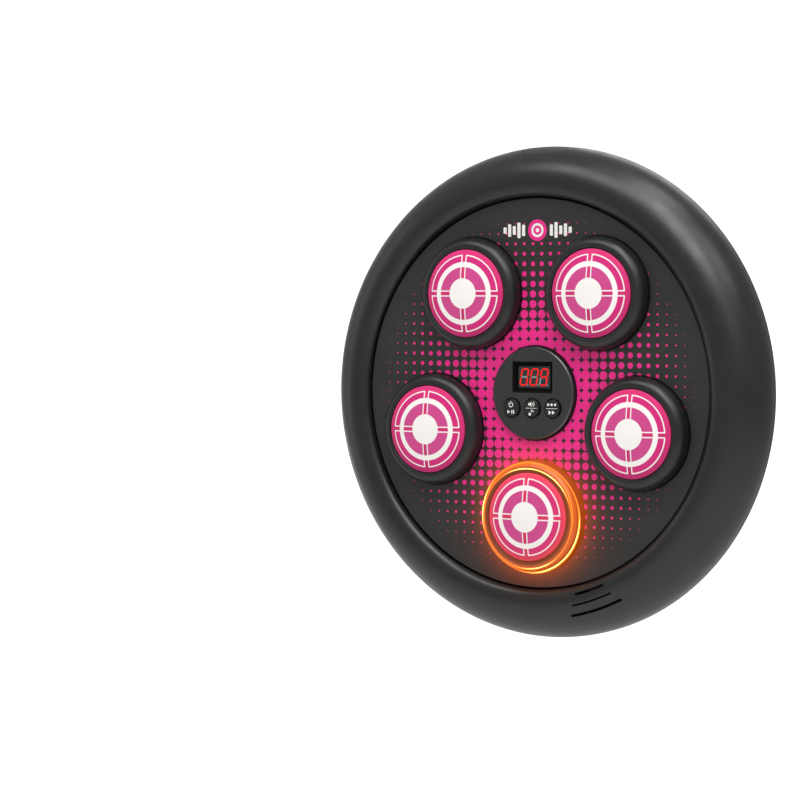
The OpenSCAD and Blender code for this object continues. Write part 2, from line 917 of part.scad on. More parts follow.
module charge_lead() {
    color([0.70, 0.15, 0.12])
        upright()
            lead([[0, 93.5, lead_z], [0, 150, lead_z], [0, port_mid[0] - 12, lead_z + 2]]);
}

rim_shell();
face_plate();
control_panel();
display_module();
tact_switches();
control_board();
control_board_screws();
mid_frame();
mid_frame_screws();
main_board();
main_board_screws();
battery_pack();
speaker();
charge_board();
charge_board_screws();
usb_socket();
port_cover();
rear_cover();
rear_cover_screws();
wall_plate();
adhesive_strips();
led_ribbons();
battery_lead();
speaker_lead();
charge_lead();
for (i = [0 : len(BUTTONS) - 1])
    button_cap(i);
for (i = [0 : len(PADS) - 1]) {
    strike_pad(i);
    pad_label(i);
    pad_carrier(i);
    pad_spring(i);
    led_ring(i);
    pad_switch(i);
}
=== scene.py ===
"""Fine shapes and finishes for a round, wall-hung boxing punch machine, round its CAD frame.

Shapes are drawn lying on their backs, in millimetres: x to the right, y up the wall, and h out
from the front of the face plate. `stand_up` turns them into the frame's metres, where the wall is
y = 0 and the pads face -Y.
"""

import json
import logging
import math
from collections.abc import Callable
from dataclasses import dataclass, field
from enum import Enum

import bmesh
import bpy
import numpy as np
from mathutils import Matrix, Vector


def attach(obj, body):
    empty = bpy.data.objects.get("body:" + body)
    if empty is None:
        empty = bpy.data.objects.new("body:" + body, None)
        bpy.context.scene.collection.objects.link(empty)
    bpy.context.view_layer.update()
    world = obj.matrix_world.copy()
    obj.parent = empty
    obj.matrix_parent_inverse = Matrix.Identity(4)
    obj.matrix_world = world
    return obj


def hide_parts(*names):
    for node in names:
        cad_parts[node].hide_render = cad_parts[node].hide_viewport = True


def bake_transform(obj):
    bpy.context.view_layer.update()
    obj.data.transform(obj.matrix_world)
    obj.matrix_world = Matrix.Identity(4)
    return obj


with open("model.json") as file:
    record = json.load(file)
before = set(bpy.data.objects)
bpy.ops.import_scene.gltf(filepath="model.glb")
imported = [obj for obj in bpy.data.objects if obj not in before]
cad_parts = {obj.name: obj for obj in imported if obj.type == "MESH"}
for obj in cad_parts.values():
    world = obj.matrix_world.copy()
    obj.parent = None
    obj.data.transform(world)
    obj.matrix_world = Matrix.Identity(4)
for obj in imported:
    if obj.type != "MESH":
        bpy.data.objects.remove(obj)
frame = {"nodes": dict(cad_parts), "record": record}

LOG = logging.getLogger("punch_machine")
MM = 0.001
FACE_FROM_WALL = 36.0
SHARP_EDGE = math.radians(32)
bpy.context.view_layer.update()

Piece = bpy.types.Object
Tree = bpy.types.NodeTree
Socket = bpy.types.NodeSocket
Node = bpy.types.ShaderNode
Point = tuple[float, float]
FaceTest = Callable[..., np.ndarray]


# ---------------------------------------------------------------------------------------------
# Shapes
# ---------------------------------------------------------------------------------------------


class Cut(Enum):
    """How one solid changes another."""

    REMOVE = "DIFFERENCE"
    JOIN = "UNION"
    KEEP_SHARED = "INTERSECT"


@dataclass
class Shape:
    """A closed mesh in lying-down millimetres."""

    points: np.ndarray
    faces: list[list[int]]

    def __add__(self, other: "Shape") -> "Shape":
        """Both shapes in one mesh, left as separate shells."""
        shift = len(self.points)
        moved = [[corner + shift for corner in face] for face in other.faces]
        return Shape(np.vstack([self.points, other.points]), self.faces + moved)


def stand_up(points: np.ndarray) -> np.ndarray:
    """Turns lying-down millimetres (x, y, h) into frame metres (x, -(36 + h), y)."""
    x, y, h = points.T
    return np.stack([x, -(FACE_FROM_WALL + h), y], axis=1) * MM


def on_circle(radius: float, degrees: float) -> np.ndarray:
    """The point (radius cos, radius sin) at an angle in degrees."""
    turn = math.radians(degrees)
    return np.array([radius * math.cos(turn), radius * math.sin(turn)])


def arc(centre: Point, radius: float, start: float, end: float, steps: int) -> np.ndarray:
    """Points at equal steps along a circular arc.

    Args:
        centre: the circle's centre.
        radius: its radius.
        start: the first angle in degrees.
        end: the last angle in degrees.
        steps: the number of steps between them.

    Returns:
        An array of steps + 1 points: centre + radius times (cos t, sin t).
    """
    turn = np.radians(np.linspace(start, end, steps + 1))
    return np.stack([centre[0] + radius * np.cos(turn), centre[1] + radius * np.sin(turn)], axis=1)


def circle(centre: Point, radius: float, steps: int) -> np.ndarray:
    """A full circle's points, the first one not repeated."""
    return arc(centre, radius, 0, 360, steps)[:-1]


def rounded_outline(width: float, height: float, corner: float, steps: int = 6) -> np.ndarray:
    """A rectangle about the origin whose four corners are quarter circles."""
    x, y = width / 2 - corner, height / 2 - corner
    centres = ((x, y), (-x, y), (-x, -y), (x, -y))
    return np.vstack([arc(at, corner, 90 * k, 90 * k + 90, steps) for k, at in enumerate(centres)])


def joined(shapes: list[Shape]) -> Shape:
    """All of the shapes in one mesh, in order."""
    return sum(shapes[1:], shapes[0])


def between_rings(start: np.ndarray, after: np.ndarray, around: int) -> list[list[int]]:
    """Four-sided faces that join rings of points.

    Args:
        start: the number of each ring's first point.
        after: the number of the first point of the ring that it is joined to.
        around: the number of points in a ring.

    Returns:
        The faces: each takes a point and its neighbour in both rings.
    """
    column = np.arange(around)
    beside = np.roll(column, -1)
    row, after = start[:, None], after[:, None]
    faces = np.stack([row + column, after + column, after + beside, row + beside], axis=-1)
    return faces.reshape(-1, 4).tolist()


def lathe(profile: np.ndarray, around: int, at: Point = (0.0, 0.0)) -> Shape:
    """Turns a closed outline about an axis that stands on the face plate.

    Each outline point (r, h) becomes the ring at + r (cos t, sin t) at height h, for t in equal
    steps of a full turn; neighbouring rings are joined by four-sided faces. Rings of radius zero
    are merged into one point when the mesh is made.

    Args:
        profile: the outline's (r, h) points, in order.
        around: the number of steps in a full turn.
        at: where the axis stands.

    Returns:
        The turned shape.
    """
    turn = np.arange(around) * (2 * math.pi / around)
    radius, height = profile[:, :1], profile[:, 1:]
    x = at[0] + radius * np.cos(turn)
    y = at[1] + radius * np.sin(turn)
    points = np.stack([x, y, np.broadcast_to(height, x.shape)], axis=-1).reshape(-1, 3)
    row = np.arange(len(profile))
    after = np.roll(row, -1)
    on_axis = (profile[row, 0] < 1e-9) & (profile[after, 0] < 1e-9)
    return Shape(points, between_rings(row[~on_axis] * around, after[~on_axis] * around, around))


def tube(
    at: Point, turn: np.ndarray, radius: np.ndarray, height: np.ndarray, thick: float, sides: int
) -> Shape:
    """Rings of points along a curve round an axis; the caller adds the faces.

    At angle t the curve's middle is at + r (cos t, sin t) at height h. Each ring is a circle of
    radius thick in the plane that holds the axis and that point.
    """
    side = np.arange(sides) * (2 * math.pi / sides)
    reach = radius[:, None] + thick * np.cos(side)
    rise = height[:, None] + thick * np.sin(side)
    x = at[0] + reach * np.cos(turn)[:, None]
    y = at[1] + reach * np.sin(turn)[:, None]
    return Shape(np.stack([x, y, rise], axis=-1).reshape(-1, 3), [])


def prism(outline: np.ndarray, low: float, high: float) -> Shape:
    """Raises a flat outline from height low to height high."""
    count = len(outline)
    points = np.column_stack([np.vstack([outline, outline]), np.repeat([low, high], count)])
    here = np.arange(count)
    beside = np.roll(here, -1)
    sides = np.stack([here, beside, beside + count, here + count], axis=1).tolist()
    return Shape(points, sides + [here[::-1].tolist(), (here + count).tolist()])


def taper(lower: np.ndarray, upper: np.ndarray, low: float, high: float) -> Shape:
    """Joins two outlines with the same number of points, at heights low and high."""
    shape = prism(lower, low, high)
    shape.points[len(lower) :, :2] = upper
    return shape


def read(
    items: bpy.types.bpy_prop_collection, name: str, width: int, kind: type = np.float32
) -> np.ndarray:
    """Reads one property of a mesh's points, corners or faces into rows of the given width."""
    values = np.zeros(len(items) * width, kind)
    items.foreach_get(name, values)
    return values.reshape(-1, width)


def make_object(name: str, shape: Shape) -> Piece:
    """Makes a closed mesh object, standing in the frame, with its faces turned outwards."""
    mesh = bpy.data.meshes.new(name)
    mesh.from_pydata(stand_up(shape.points).tolist(), [], shape.faces)
    shell = bmesh.new()
    shell.from_mesh(mesh)
    bmesh.ops.remove_doubles(shell, verts=shell.verts, dist=1e-7)
    bmesh.ops.recalc_face_normals(shell, faces=shell.faces)
    shell.to_mesh(mesh)
    shell.free()
    made = bpy.data.objects.new(name, mesh)
    bpy.context.scene.collection.objects.link(made)
    return made


def combine(target: Piece, shape: Shape, how: Cut) -> Piece:
    """Removes a shape from a solid, joins it on, or keeps only what both share.

    Args:
        target: the object whose mesh changes.
        shape: the other solid.
        how: what to do with it.

    Returns:
        The same object, with its new mesh.
    """
    tool = make_object(f"{target.name}_tool", shape)
    step = target.modifiers.new("combine", "BOOLEAN")
    step.operation, step.solver, step.object = how.value, "MANIFOLD", tool
    graph = bpy.context.evaluated_depsgraph_get()
    mesh = bpy.data.meshes.new_from_object(target.evaluated_get(graph))
    old = target.data
    target.modifiers.clear()
    target.data = mesh
    mesh.name = target.name
    bpy.data.objects.remove(tool)
    bpy.data.meshes.remove(old)
    return target


def smooth(piece: Piece) -> None:
    """Shades a piece smoothly, and keeps its real edges sharp and its flat faces flat."""
    piece.data.shade_smooth()
    piece.data.set_sharp_from_angle(angle=SHARP_EDGE)
    weigh = piece.modifiers.new("weigh_normals", "WEIGHTED_NORMAL")
    weigh.mode, weigh.weight, weigh.keep_sharp = "FACE_AREA", 50, True


# ---------------------------------------------------------------------------------------------
# Finishes
# ---------------------------------------------------------------------------------------------


def linear(tone: str) -> tuple[float, float, float, float]:
    """Turns an sRGB hex colour into linear red, green, blue and alpha."""
    parts = np.array([int(tone[k : k + 2], 16) for k in (1, 3, 5)]) / 255
    low, high = parts / 12.92, ((parts + 0.055) / 1.055) ** 2.4
    return (*np.where(parts <= 0.04045, low, high).tolist(), 1.0)


def feed(tree: Tree, node: Node, inputs: dict[str | int, object]) -> None:
    """Gives each named input of a node its value, or a link from a socket."""
    for name, value in inputs.items():
        if isinstance(value, Socket):
            tree.links.new(value, node.inputs[name])
        else:
            node.inputs[name].default_value = value


def add(
    tree: Tree,
    kind: str,
    settings: dict[str, object] | None = None,
    inputs: dict[str | int, object] | None = None,
    out: str | int = 0,
) -> Socket:
    """Adds a node with its settings, values and links.

    Args:
        tree: the node tree.
        kind: the node's type.
        settings: the node's own settings by name.
        inputs: a value for each input, or the socket that is linked to it.
        out: the output that the caller wants.

    Returns:
        That output.
    """
    node = tree.nodes.new(kind)
    for name, value in (settings or {}).items():
        setattr(node, name, value)
    feed(tree, node, inputs or {})
    return node.outputs[out]


RGBA = {"data_type": "RGBA"}
MIX = "ShaderNodeMix"
MATH = "ShaderNodeMath"
VECTOR = "ShaderNodeVectorMath"
RANGE = "ShaderNodeMapRange"
COORD = "ShaderNodeTexCoord"
MAPPING = "ShaderNodeMapping"
NOISE = "ShaderNodeTexNoise"
# Turns a place in metres into millimetres seen from the front, without its depth.
FLATTEN = (1 / MM, 0.0, 1 / MM)


@dataclass(frozen=True)
class Finish:
    """A moulded or coated skin: a tone with faint clouds, a roughness that wavers, and a grain."""

    name: str
    tone: str
    cloud: str
    roughness: float
    grain_mm: float = 0.6
    grain_depth_mm: float = 0.01
    cloud_mm: float = 35.0
    waver: float = 0.05
    specular: float = 0.5
    metallic: float = 0.0
    stretch: tuple[float, float, float] = (1.0, 1.0, 1.0)

    def tint(self, tree: Tree) -> Socket:
        """The colour: the tone and its cloud mixed by a soft noise of cloud_mm."""
        place = add(tree, COORD, out="Object")
        soft = add(
            tree, NOISE, None,
            {"Vector": place, "Scale": 1 / (self.cloud_mm * MM), "Detail": 3.0, "Roughness": 0.55},
        )
        share = add(tree, RANGE, None, {"Value": soft, "From Min": 0.35, "From Max": 0.65})
        return add(
            tree, MIX, RGBA,
            {"Factor": share, "A": linear(self.tone), "B": linear(self.cloud)}, out="Result",
        )

    def glow(self, tree: Tree, shader: Node) -> None:
        """Adds light from within; most finishes have none."""

    def material(self) -> bpy.types.Material:
        """Builds the material, with its colour, roughness and grain from nodes."""
        made = bpy.data.materials.new(self.name)
        made.use_nodes = True
        tree = made.node_tree
        shader = tree.nodes["Principled BSDF"]
        place = add(tree, COORD, out="Object")
        spread = add(tree, MAPPING, None, {"Vector": place, "Scale": self.stretch})
        grain = add(
            tree, NOISE, None,
            {"Vector": spread, "Scale": 1 / (self.grain_mm * MM), "Detail": 2.0},
        )
        worn = add(
            tree, NOISE, None,
            {"Vector": place, "Scale": 1 / (self.cloud_mm * 0.4 * MM), "Detail": 4.0},
        )
        rough = add(
            tree, RANGE, None,
            {
                "Value": worn, "From Min": 0.3, "From Max": 0.7,
                "To Min": self.roughness - self.waver, "To Max": self.roughness + self.waver,
            },
        )
        bump = add(
            tree, "ShaderNodeBump", None,
            {"Strength": 1.0, "Distance": self.grain_depth_mm * MM, "Height": grain},
        )
        feed(
            tree, shader,
            {
                "Base Color": self.tint(tree), "Roughness": rough, "Normal": bump,
                "Metallic": self.metallic, "Specular IOR Level": self.specular,
            },
        )
        self.glow(tree, shader)
        return made


@dataclass(frozen=True)
class PaintedGlow:
    """Painted light: an orange glow from a lit pad, painted as emission onto what is round it; it fades
    with distance.
    """

    centre: Point
    start_mm: float
    fade_mm: float
    strength: float
    tone: str = "#FF6A10"

    def level(self, tree: Tree) -> Socket:
        """The strength times e to the minus (distance past the start, over the fade)."""
        place = add(tree, COORD, out="Object")
        flat = add(
            tree, MAPPING, None,
            {
                "Vector": place, "Scale": FLATTEN,
                "Location": (-self.centre[0], 0.0, -self.centre[1]),
            },
        )
        away = add(tree, VECTOR, {"operation": "LENGTH"}, {0: flat}, out="Value")
        past = add(tree, MATH, {"operation": "SUBTRACT"}, {0: self.start_mm, 1: away})
        turns = add(tree, MATH, {"operation": "DIVIDE"}, {0: past, 1: self.fade_mm})
        fade = add(tree, MATH, {"operation": "EXPONENT"}, {0: turns})
        return add(tree, MATH, {"operation": "MULTIPLY"}, {0: fade, 1: self.strength})

    def apply(self, tree: Tree, shader: Node) -> None:
        """Sets the shader's emission from this painted glow."""
        light = {"Emission Color": linear(self.tone), "Emission Strength": self.level(tree)}
        feed(tree, shader, light)


@dataclass(frozen=True)
class GlowPaintedFinish(Finish):
    """A moulded skin that may also take a painted orange glow from the lit pad."""

    light: PaintedGlow | None = None

    def glow(self, tree: Tree, shader: Node) -> None:
        """Adds the painted glow."""
        if self.light:
            self.light.apply(tree, shader)


@dataclass(frozen=True)
class DotPrint(GlowPaintedFinish):
    """A moulded plate printed with a halftone: dots on a square lattice that shrink outwards.

    Where the dots crowd together, the plate between them is printed nearly black.
    """

    ink: str = "#F01E88"
    pitch_mm: float = 8.03
    lattice_at: Point = (-2.11, -1.15)
    dot_at_middle: float = 0.76
    shrink_per_mm: float = 0.0051
    edge: float = 0.012
    underprint: str = "#0A1210"
    crowded: tuple[float, float] = (0.36, 0.54)

    def tint(self, tree: Tree) -> Socket:
        """The ink where a point is nearer its lattice point than that dot's radius.

        In lattice steps, cell = fraction(p + 1/2) - 1/2 and the dot's radius is
        dot_at_middle - shrink_per_mm times the lattice point's distance from the middle.
        """
        base = super().tint(tree)
        place = add(tree, COORD, out="Object")
        step = 1 / (self.pitch_mm * MM)
        x, z = (-at / self.pitch_mm for at in self.lattice_at)
        lattice = add(
            tree, MAPPING, None,
            {"Vector": place, "Scale": (step, 0.0, step), "Location": (x + 0.5, 0.5, z + 0.5)},
        )
        part = add(tree, VECTOR, {"operation": "FRACTION"}, {0: lattice}, out="Vector")
        cell = add(tree, VECTOR, {"operation": "SUBTRACT"}, {0: part, 1: (0.5, 0.5, 0.5)}, out="Vector")
        near = add(tree, VECTOR, {"operation": "LENGTH"}, {0: cell}, out="Value")
        back = add(
            tree, VECTOR, {"operation": "SCALE"}, {0: cell, "Scale": self.pitch_mm * MM}, out="Vector"
        )
        own = add(tree, VECTOR, {"operation": "SUBTRACT"}, {0: place, 1: back}, out="Vector")
        flat = add(tree, VECTOR, {"operation": "MULTIPLY"}, {0: own, 1: (1.0, 0.0, 1.0)}, out="Vector")
        reach = add(tree, VECTOR, {"operation": "LENGTH"}, {0: flat}, out="Value")
        radius = add(
            tree, MATH, {"operation": "MULTIPLY_ADD"},
            {0: reach, 1: -self.shrink_per_mm / MM, 2: self.dot_at_middle},
        )
        crowded = add(
            tree, RANGE, None,
            {"Value": radius, "From Min": self.crowded[0], "From Max": self.crowded[1]},
        )
        under = add(
            tree, MIX, RGBA,
            {"Factor": crowded, "A": base, "B": linear(self.underprint)}, out="Result",
        )
        past = add(tree, MATH, {"operation": "SUBTRACT"}, {0: near, 1: radius})
        inked = add(tree, RANGE, None, {"Value": past, "From Min": self.edge, "From Max": -self.edge})
        return add(tree, MIX, RGBA, {"Factor": inked, "A": under, "B": linear(self.ink)}, out="Result")


@dataclass(frozen=True)
class TargetPrint(GlowPaintedFinish):
    """A printed disc: white hub, ring and thin quadrant outlines over two tones of pink, darkened towards
    the disc's bottom by painted shade.

    The piece's own map holds each point's place on the disc, from -1 to 1 across its radius,
    moved into 0 to 1.
    """

    white: str = "#FBF6F2"
    band: str = "#D8337F"
    inner: str = "#D0488C"
    # The darker pink that the disc takes towards its bottom, as painted shade.
    low: str = "#C02870"
    hub: float = 0.346
    ring: tuple[float, float] = (0.603, 0.72)
    outline_r: float = 0.87
    spoke: float = 0.056
    line: float = 0.0135
    edge: float = 0.006

    def tint(self, tree: Tree) -> Socket:
        """The print, from the distance to the disc's middle and to the nearer axis, with painted shade
        from the height on the disc.
        """
        mapped = add(tree, "ShaderNodeUVMap", {"uv_map": "disc"})
        place = add(
            tree, MAPPING, None,
            {"Vector": mapped, "Scale": (2.0, 2.0, 0.0), "Location": (-1.0, -1.0, 0.0)},
        )
        rho = add(tree, VECTOR, {"operation": "LENGTH"}, {0: place}, out="Value")
        size = add(tree, VECTOR, {"operation": "ABSOLUTE"}, {0: place}, out="Vector")
        across = add(tree, "ShaderNodeSeparateXYZ", None, {0: size}, out="X")
        upward = add(tree, "ShaderNodeSeparateXYZ", None, {0: size}, out="Y")
        height = add(tree, "ShaderNodeSeparateXYZ", None, {0: place}, out="Y")
        axis = add(tree, MATH, {"operation": "MINIMUM"}, {0: across, 1: upward})
        outer = add(tree, MATH, {"operation": "SUBTRACT"}, {0: rho, 1: self.outline_r})
        beside = add(tree, MATH, {"operation": "SUBTRACT"}, {0: self.spoke, 1: axis})
        quadrant = add(tree, MATH, {"operation": "SMOOTH_MAX"}, {0: outer, 1: beside, 2: 0.03})
        line_gap = add(tree, MATH, {"operation": "ABSOLUTE"}, {0: quadrant})
        lined = self.inside(tree, line_gap, self.line)
        hub = self.inside(tree, rho, self.hub)
        middle = sum(self.ring) / 2
        ring_gap = add(tree, MATH, {"operation": "SUBTRACT"}, {0: rho, 1: middle})
        ring_size = add(tree, MATH, {"operation": "ABSOLUTE"}, {0: ring_gap})
        ringed = self.inside(tree, ring_size, (self.ring[1] - self.ring[0]) / 2)
        white = add(tree, MATH, {"operation": "MAXIMUM"}, {0: hub, 1: ringed})
        white = add(tree, MATH, {"operation": "MAXIMUM"}, {0: white, 1: lined})
        # Painted shade: the pink darkens to the low tone towards the disc's bottom.
        painted_shade_share = add(tree, RANGE, None, {"Value": height, "From Min": 0.8, "From Max": -1.0})
        pink = add(
            tree, MIX, RGBA,
            {"Factor": painted_shade_share, "A": linear(self.tone), "B": linear(self.low)}, out="Result",
        )
        field_share = self.inside(tree, quadrant, 0.0)
        banded = add(
            tree, MIX, RGBA,
            {"Factor": field_share, "A": pink, "B": linear(self.band)}, out="Result",
        )
        core = self.inside(tree, rho, middle)
        core = add(tree, MATH, {"operation": "MULTIPLY"}, {0: core, 1: field_share})
        paled = add(tree, MIX, RGBA, {"Factor": core, "A": banded, "B": linear(self.inner)}, out="Result")
        return add(tree, MIX, RGBA, {"Factor": white, "A": paled, "B": linear(self.white)}, out="Result")

    def inside(
        self, tree: Tree, value: Socket, limit: float
    ) -> Socket:
        """One where the value is under the limit, none above it, with a soft printed edge."""
        bounds = {"From Min": limit + self.edge, "From Max": limit - self.edge}
        return add(tree, RANGE, None, {"Value": value, **bounds})


@dataclass(frozen=True)
class Strand:
    """One bright thread of light round a lit pad's shoulder."""

    radius: float
    shift: tuple[float, float]
    width: float
    strength: float
    bright_at: float
    swing: float


@dataclass(frozen=True)
class LitRubber(Finish):
    """A smoked, see-through pad skin with threads of orange light under its shoulder."""

    centre: Point = (0.0, 0.0)
    strands: tuple[Strand, ...] = ()
    haze: float = 0.25
    light: str = "#FF7A12"

    def glow(self, tree: Tree, shader: Node) -> None:
        """Adds every strand: a bell curve about its own circle, stronger towards one side.

        A strand's strength is e to the minus (distance from its circle over its width) squared,
        times 1 + swing cos(angle - bright angle).
        """
        place = add(tree, COORD, out="Object")
        total = None
        for strand in self.strands:
            x, z = (c + s for c, s in zip(self.centre, strand.shift))
            flat = add(
                tree, MAPPING, None,
                {"Vector": place, "Scale": FLATTEN, "Location": (-x, 0.0, -z)},
            )
            away = add(tree, VECTOR, {"operation": "LENGTH"}, {0: flat}, out="Value")
            gap = add(tree, MATH, {"operation": "SUBTRACT"}, {0: away, 1: strand.radius})
            share = add(tree, MATH, {"operation": "DIVIDE"}, {0: gap, 1: strand.width})
            power = add(tree, MATH, {"operation": "MULTIPLY"}, {0: share, 1: share})
            minus = add(tree, MATH, {"operation": "MULTIPLY"}, {0: power, 1: -1.0})
            bell = add(tree, MATH, {"operation": "EXPONENT"}, {0: minus})
            turn = math.radians(strand.bright_at)
            towards = add(
                tree, VECTOR, {"operation": "DOT_PRODUCT"},
                {0: flat, 1: (math.cos(turn), 0.0, math.sin(turn))}, out="Value",
            )
            swing = add(
                tree, MATH, {"operation": "MULTIPLY_ADD"},
                {0: towards, 1: strand.swing * strand.strength / strand.radius, 2: strand.strength},
            )
            lit = add(tree, MATH, {"operation": "MULTIPLY"}, {0: bell, 1: swing})
            total = lit if total is None else add(tree, MATH, {"operation": "ADD"}, {0: total, 1: lit})
        hazed = add(tree, MATH, {"operation": "ADD"}, {0: total, 1: self.haze})
        feed(tree, shader, {"Emission Color": linear(self.light), "Emission Strength": hazed})


@dataclass(frozen=True)
class LitThread(Finish):
    """A bright thread of light: orange where it is faint, pale yellow where it is strong.

    The piece's own "glow" attribute holds how strong the light is at each point.
    """

    faint: str = "#FF6408"
    strong: str = "#FFD070"
    full_at: float = 4.5

    def glow(self, tree: Tree, shader: Node) -> None:
        """Takes the strength from the attribute, and pales the colour as it grows."""
        level = add(tree, "ShaderNodeAttribute", {"attribute_name": "glow"}, out="Fac")
        share = add(tree, RANGE, None, {"Value": level, "From Min": 1.0, "From Max": self.full_at})
        tone = add(
            tree, MIX, RGBA,
            {"Factor": share, "A": linear(self.faint), "B": linear(self.strong)}, out="Result",
        )
        feed(tree, shader, {"Emission Color": tone, "Emission Strength": level})


@dataclass(frozen=True)
class CircuitBoard(Finish):
    """Glass-fibre board: green mask over paler copper tracks that run square to each other."""

    track: str = "#2F7A4C"
    track_mm: float = 1.6

    def tint(self, tree: Tree) -> Socket:
        """The mask, with tracks where a blocky cell pattern's edges are near."""
        base = super().tint(tree)
        place = add(tree, COORD, out="Object")
        cells = add(
            tree, "ShaderNodeTexVoronoi", {"feature": "F1", "distance": "CHEBYCHEV"},
            {"Vector": place, "Scale": 1 / (self.track_mm * 3 * MM)}, out="Distance",
        )
        bands = add(tree, MATH, {"operation": "PINGPONG"}, {0: cells, 1: 0.12})
        shown = add(tree, RANGE, None, {"Value": bands, "From Min": 0.05, "From Max": 0.08})
        return add(tree, MIX, RGBA, {"Factor": shown, "A": base, "B": linear(self.track)}, out="Result")


@dataclass(frozen=True)
class Lamp(Finish):
    """A lit plastic window: its own colour, glowing evenly apart from a faint mottle."""

    light: str = "#FF1408"
    strength: float = 1.0

    def glow(self, tree: Tree, shader: Node) -> None:
        """Adds the light, with a slight mottle like the scatter inside a light pipe."""
        place = add(tree, COORD, out="Object")
        mottle = add(tree, NOISE, None, {"Vector": place, "Scale": 1 / (2.0 * MM)})
        level = add(
            tree, RANGE, None,
            {"Value": mottle, "To Min": self.strength * 0.9, "To Max": self.strength * 1.1},
        )
        feed(tree, shader, {"Emission Color": linear(self.light), "Emission Strength": level})


PAD_ANGLES = {"top_left": 126.0, "top_right": 54.0, "right": -18.0, "bottom": -90.0, "left": -162.0}
PAD_CIRCLE_R = 98.4
LIT_PAD = "bottom"
PAD_PLACES: dict[str, Point] = {
    name: tuple(on_circle(PAD_CIRCLE_R, angle).tolist()) for name, angle in PAD_ANGLES.items()
}
LIT_AT = PAD_PLACES[LIT_PAD]
# Painted light: the lit pad's orange glow, painted as emission on the face plate round it.
PAINTED_PAD_GLOW = PaintedGlow(LIT_AT, 46.0, 8.0, 0.30)

# Spark-eroded ABS: a fine grain breaks the light into a broad soft sheen.
# The rim also carries a faint painted glow: orange emission near the lit pad.
HOUSING = GlowPaintedFinish(
    "satin_abs_housing", "#1D1E1E", "#1A1B1B", 0.33, 0.7, 0.010, light=PaintedGlow(LIT_AT, 46.0, 9.0, 0.05)
)
FACE = DotPrint("printed_abs_face", "#272725", "#242422", 0.5, 0.5, 0.008, light=PAINTED_PAD_GLOW)
PANEL = Finish("satin_abs_panel", "#2B2D2C", "#272928", 0.42, 0.45, 0.008)
BUTTON = Finish("polished_abs_button", "#1E1F1E", "#1A1B1A", 0.22, 0.5, 0.004)
# Silicone rubber with a satin mould finish: dark, with a wide highlight on the shoulder.
RUBBER = Finish("satin_silicone_pad", "#1B1C1C", "#181919", 0.36, 0.8, 0.012)
LABEL = TargetPrint(
    "printed_vinyl_target", "#E03379", "#E03379", 0.45, 0.5, 0.004, specular=0.35,
    band="#D4267A", low="#BC1E68",
)
# The lit pad's label: its pinks are shifted towards orange and its outer edge glows, both painted light
# from the pad's lamps.
LIT_LABEL = TargetPrint(
    "printed_vinyl_target_painted_orange_light", "#E83868", "#E83868", 0.45, 0.5, 0.004, specular=0.35,
    band="#D42A74", low="#CE2858",
    light=PaintedGlow(LIT_AT, 35.2, -4.0, 0.25),
)
# The lit pad's skin: its emission is the pad's own lamp light, and its brown tone is that orange light
# painted into the skin's colour.
LIT_RUBBER = LitRubber(
    "smoked_silicone_lit_pad", "#2A1C12", "#24180F", 0.36, 0.8, 0.012,
    centre=LIT_AT,
    strands=(Strand(41.9, (0.0, 0.3), 2.7, 0.72, 120.0, 0.25),),
    haze=0.15,
    light="#FF6C0C",
)
# Clear silicone light guide: it shines along its whole length, and most where the lamps are.
THREAD = LitThread("silicone_light_thread", "#FF9A3C", "#FF8A28", 0.3, 0.5, 0.002)
WHITE_INK = Finish("white_pad_print", "#F4F2EE", "#EAE8E4", 0.5, 0.3, 0.002, 4.0)
PINK_INK = Finish("pink_pad_print", "#EC238A", "#E41F84", 0.5, 0.3, 0.002, 4.0)
DISPLAY_CASE = Finish("black_display_case", "#111213", "#0E0F10", 0.45, 0.3, 0.004)
# The turned edges are polished, so they catch a thin bright line; their lighter tone is a painted
# highlight on top of that.
EDGE = Finish("polished_abs_edge_painted_highlight", "#34363A", "#303236", 0.22, 0.45, 0.003, specular=1.0)
# Matt black paint inside the window, which throws back almost nothing. The same near-black is laid on the
# rim's seat as painted shade in the gap round the face plate.
WINDOW_BLACK_AND_GAP_SHADE = Finish("matt_black_window_and_painted_gap_shade", "#060606", "#040404", 0.8, 0.3, 0.004, specular=0.12)
DISPLAY_FACE = Finish("grey_display_face", "#262F30", "#222B2C", 0.4, 0.3, 0.003)
SEGMENT_ON = Lamp("lit_display_segment", "#4A0402", "#400302", 0.35, 0.4, 0.002, light="#FF0402")
SEGMENT_OFF = Finish("unlit_display_segment", "#8F9693", "#868D8A", 0.4, 0.4, 0.003)
REAR = Finish("textured_abs_rear", "#2B2C2C", "#272828", 0.55, 0.9, 0.03)
PORT_RUBBER = Finish("soft_port_cover", "#262727", "#232424", 0.45, 0.6, 0.010)
PLATE = Finish("satin_abs_wall_plate", "#C9CAC8", "#C2C3C1", 0.45, 0.8, 0.015)
FOAM = Finish("white_adhesive_foam", "#ECEBE6", "#DCDAD2", 0.85, 0.25, 0.05, 6.0)
STEEL = Finish(
    "zinc_plated_steel", "#B9BCC0", "#A2A6AC", 0.32, 0.4, 0.004, 4.0, metallic=1.0,
    stretch=(1.0, 6.0, 1.0),
)
SPRING_STEEL = Finish("oiled_spring_steel", "#8E9094", "#76787C", 0.28, 0.3, 0.003, 3.0, metallic=1.0)

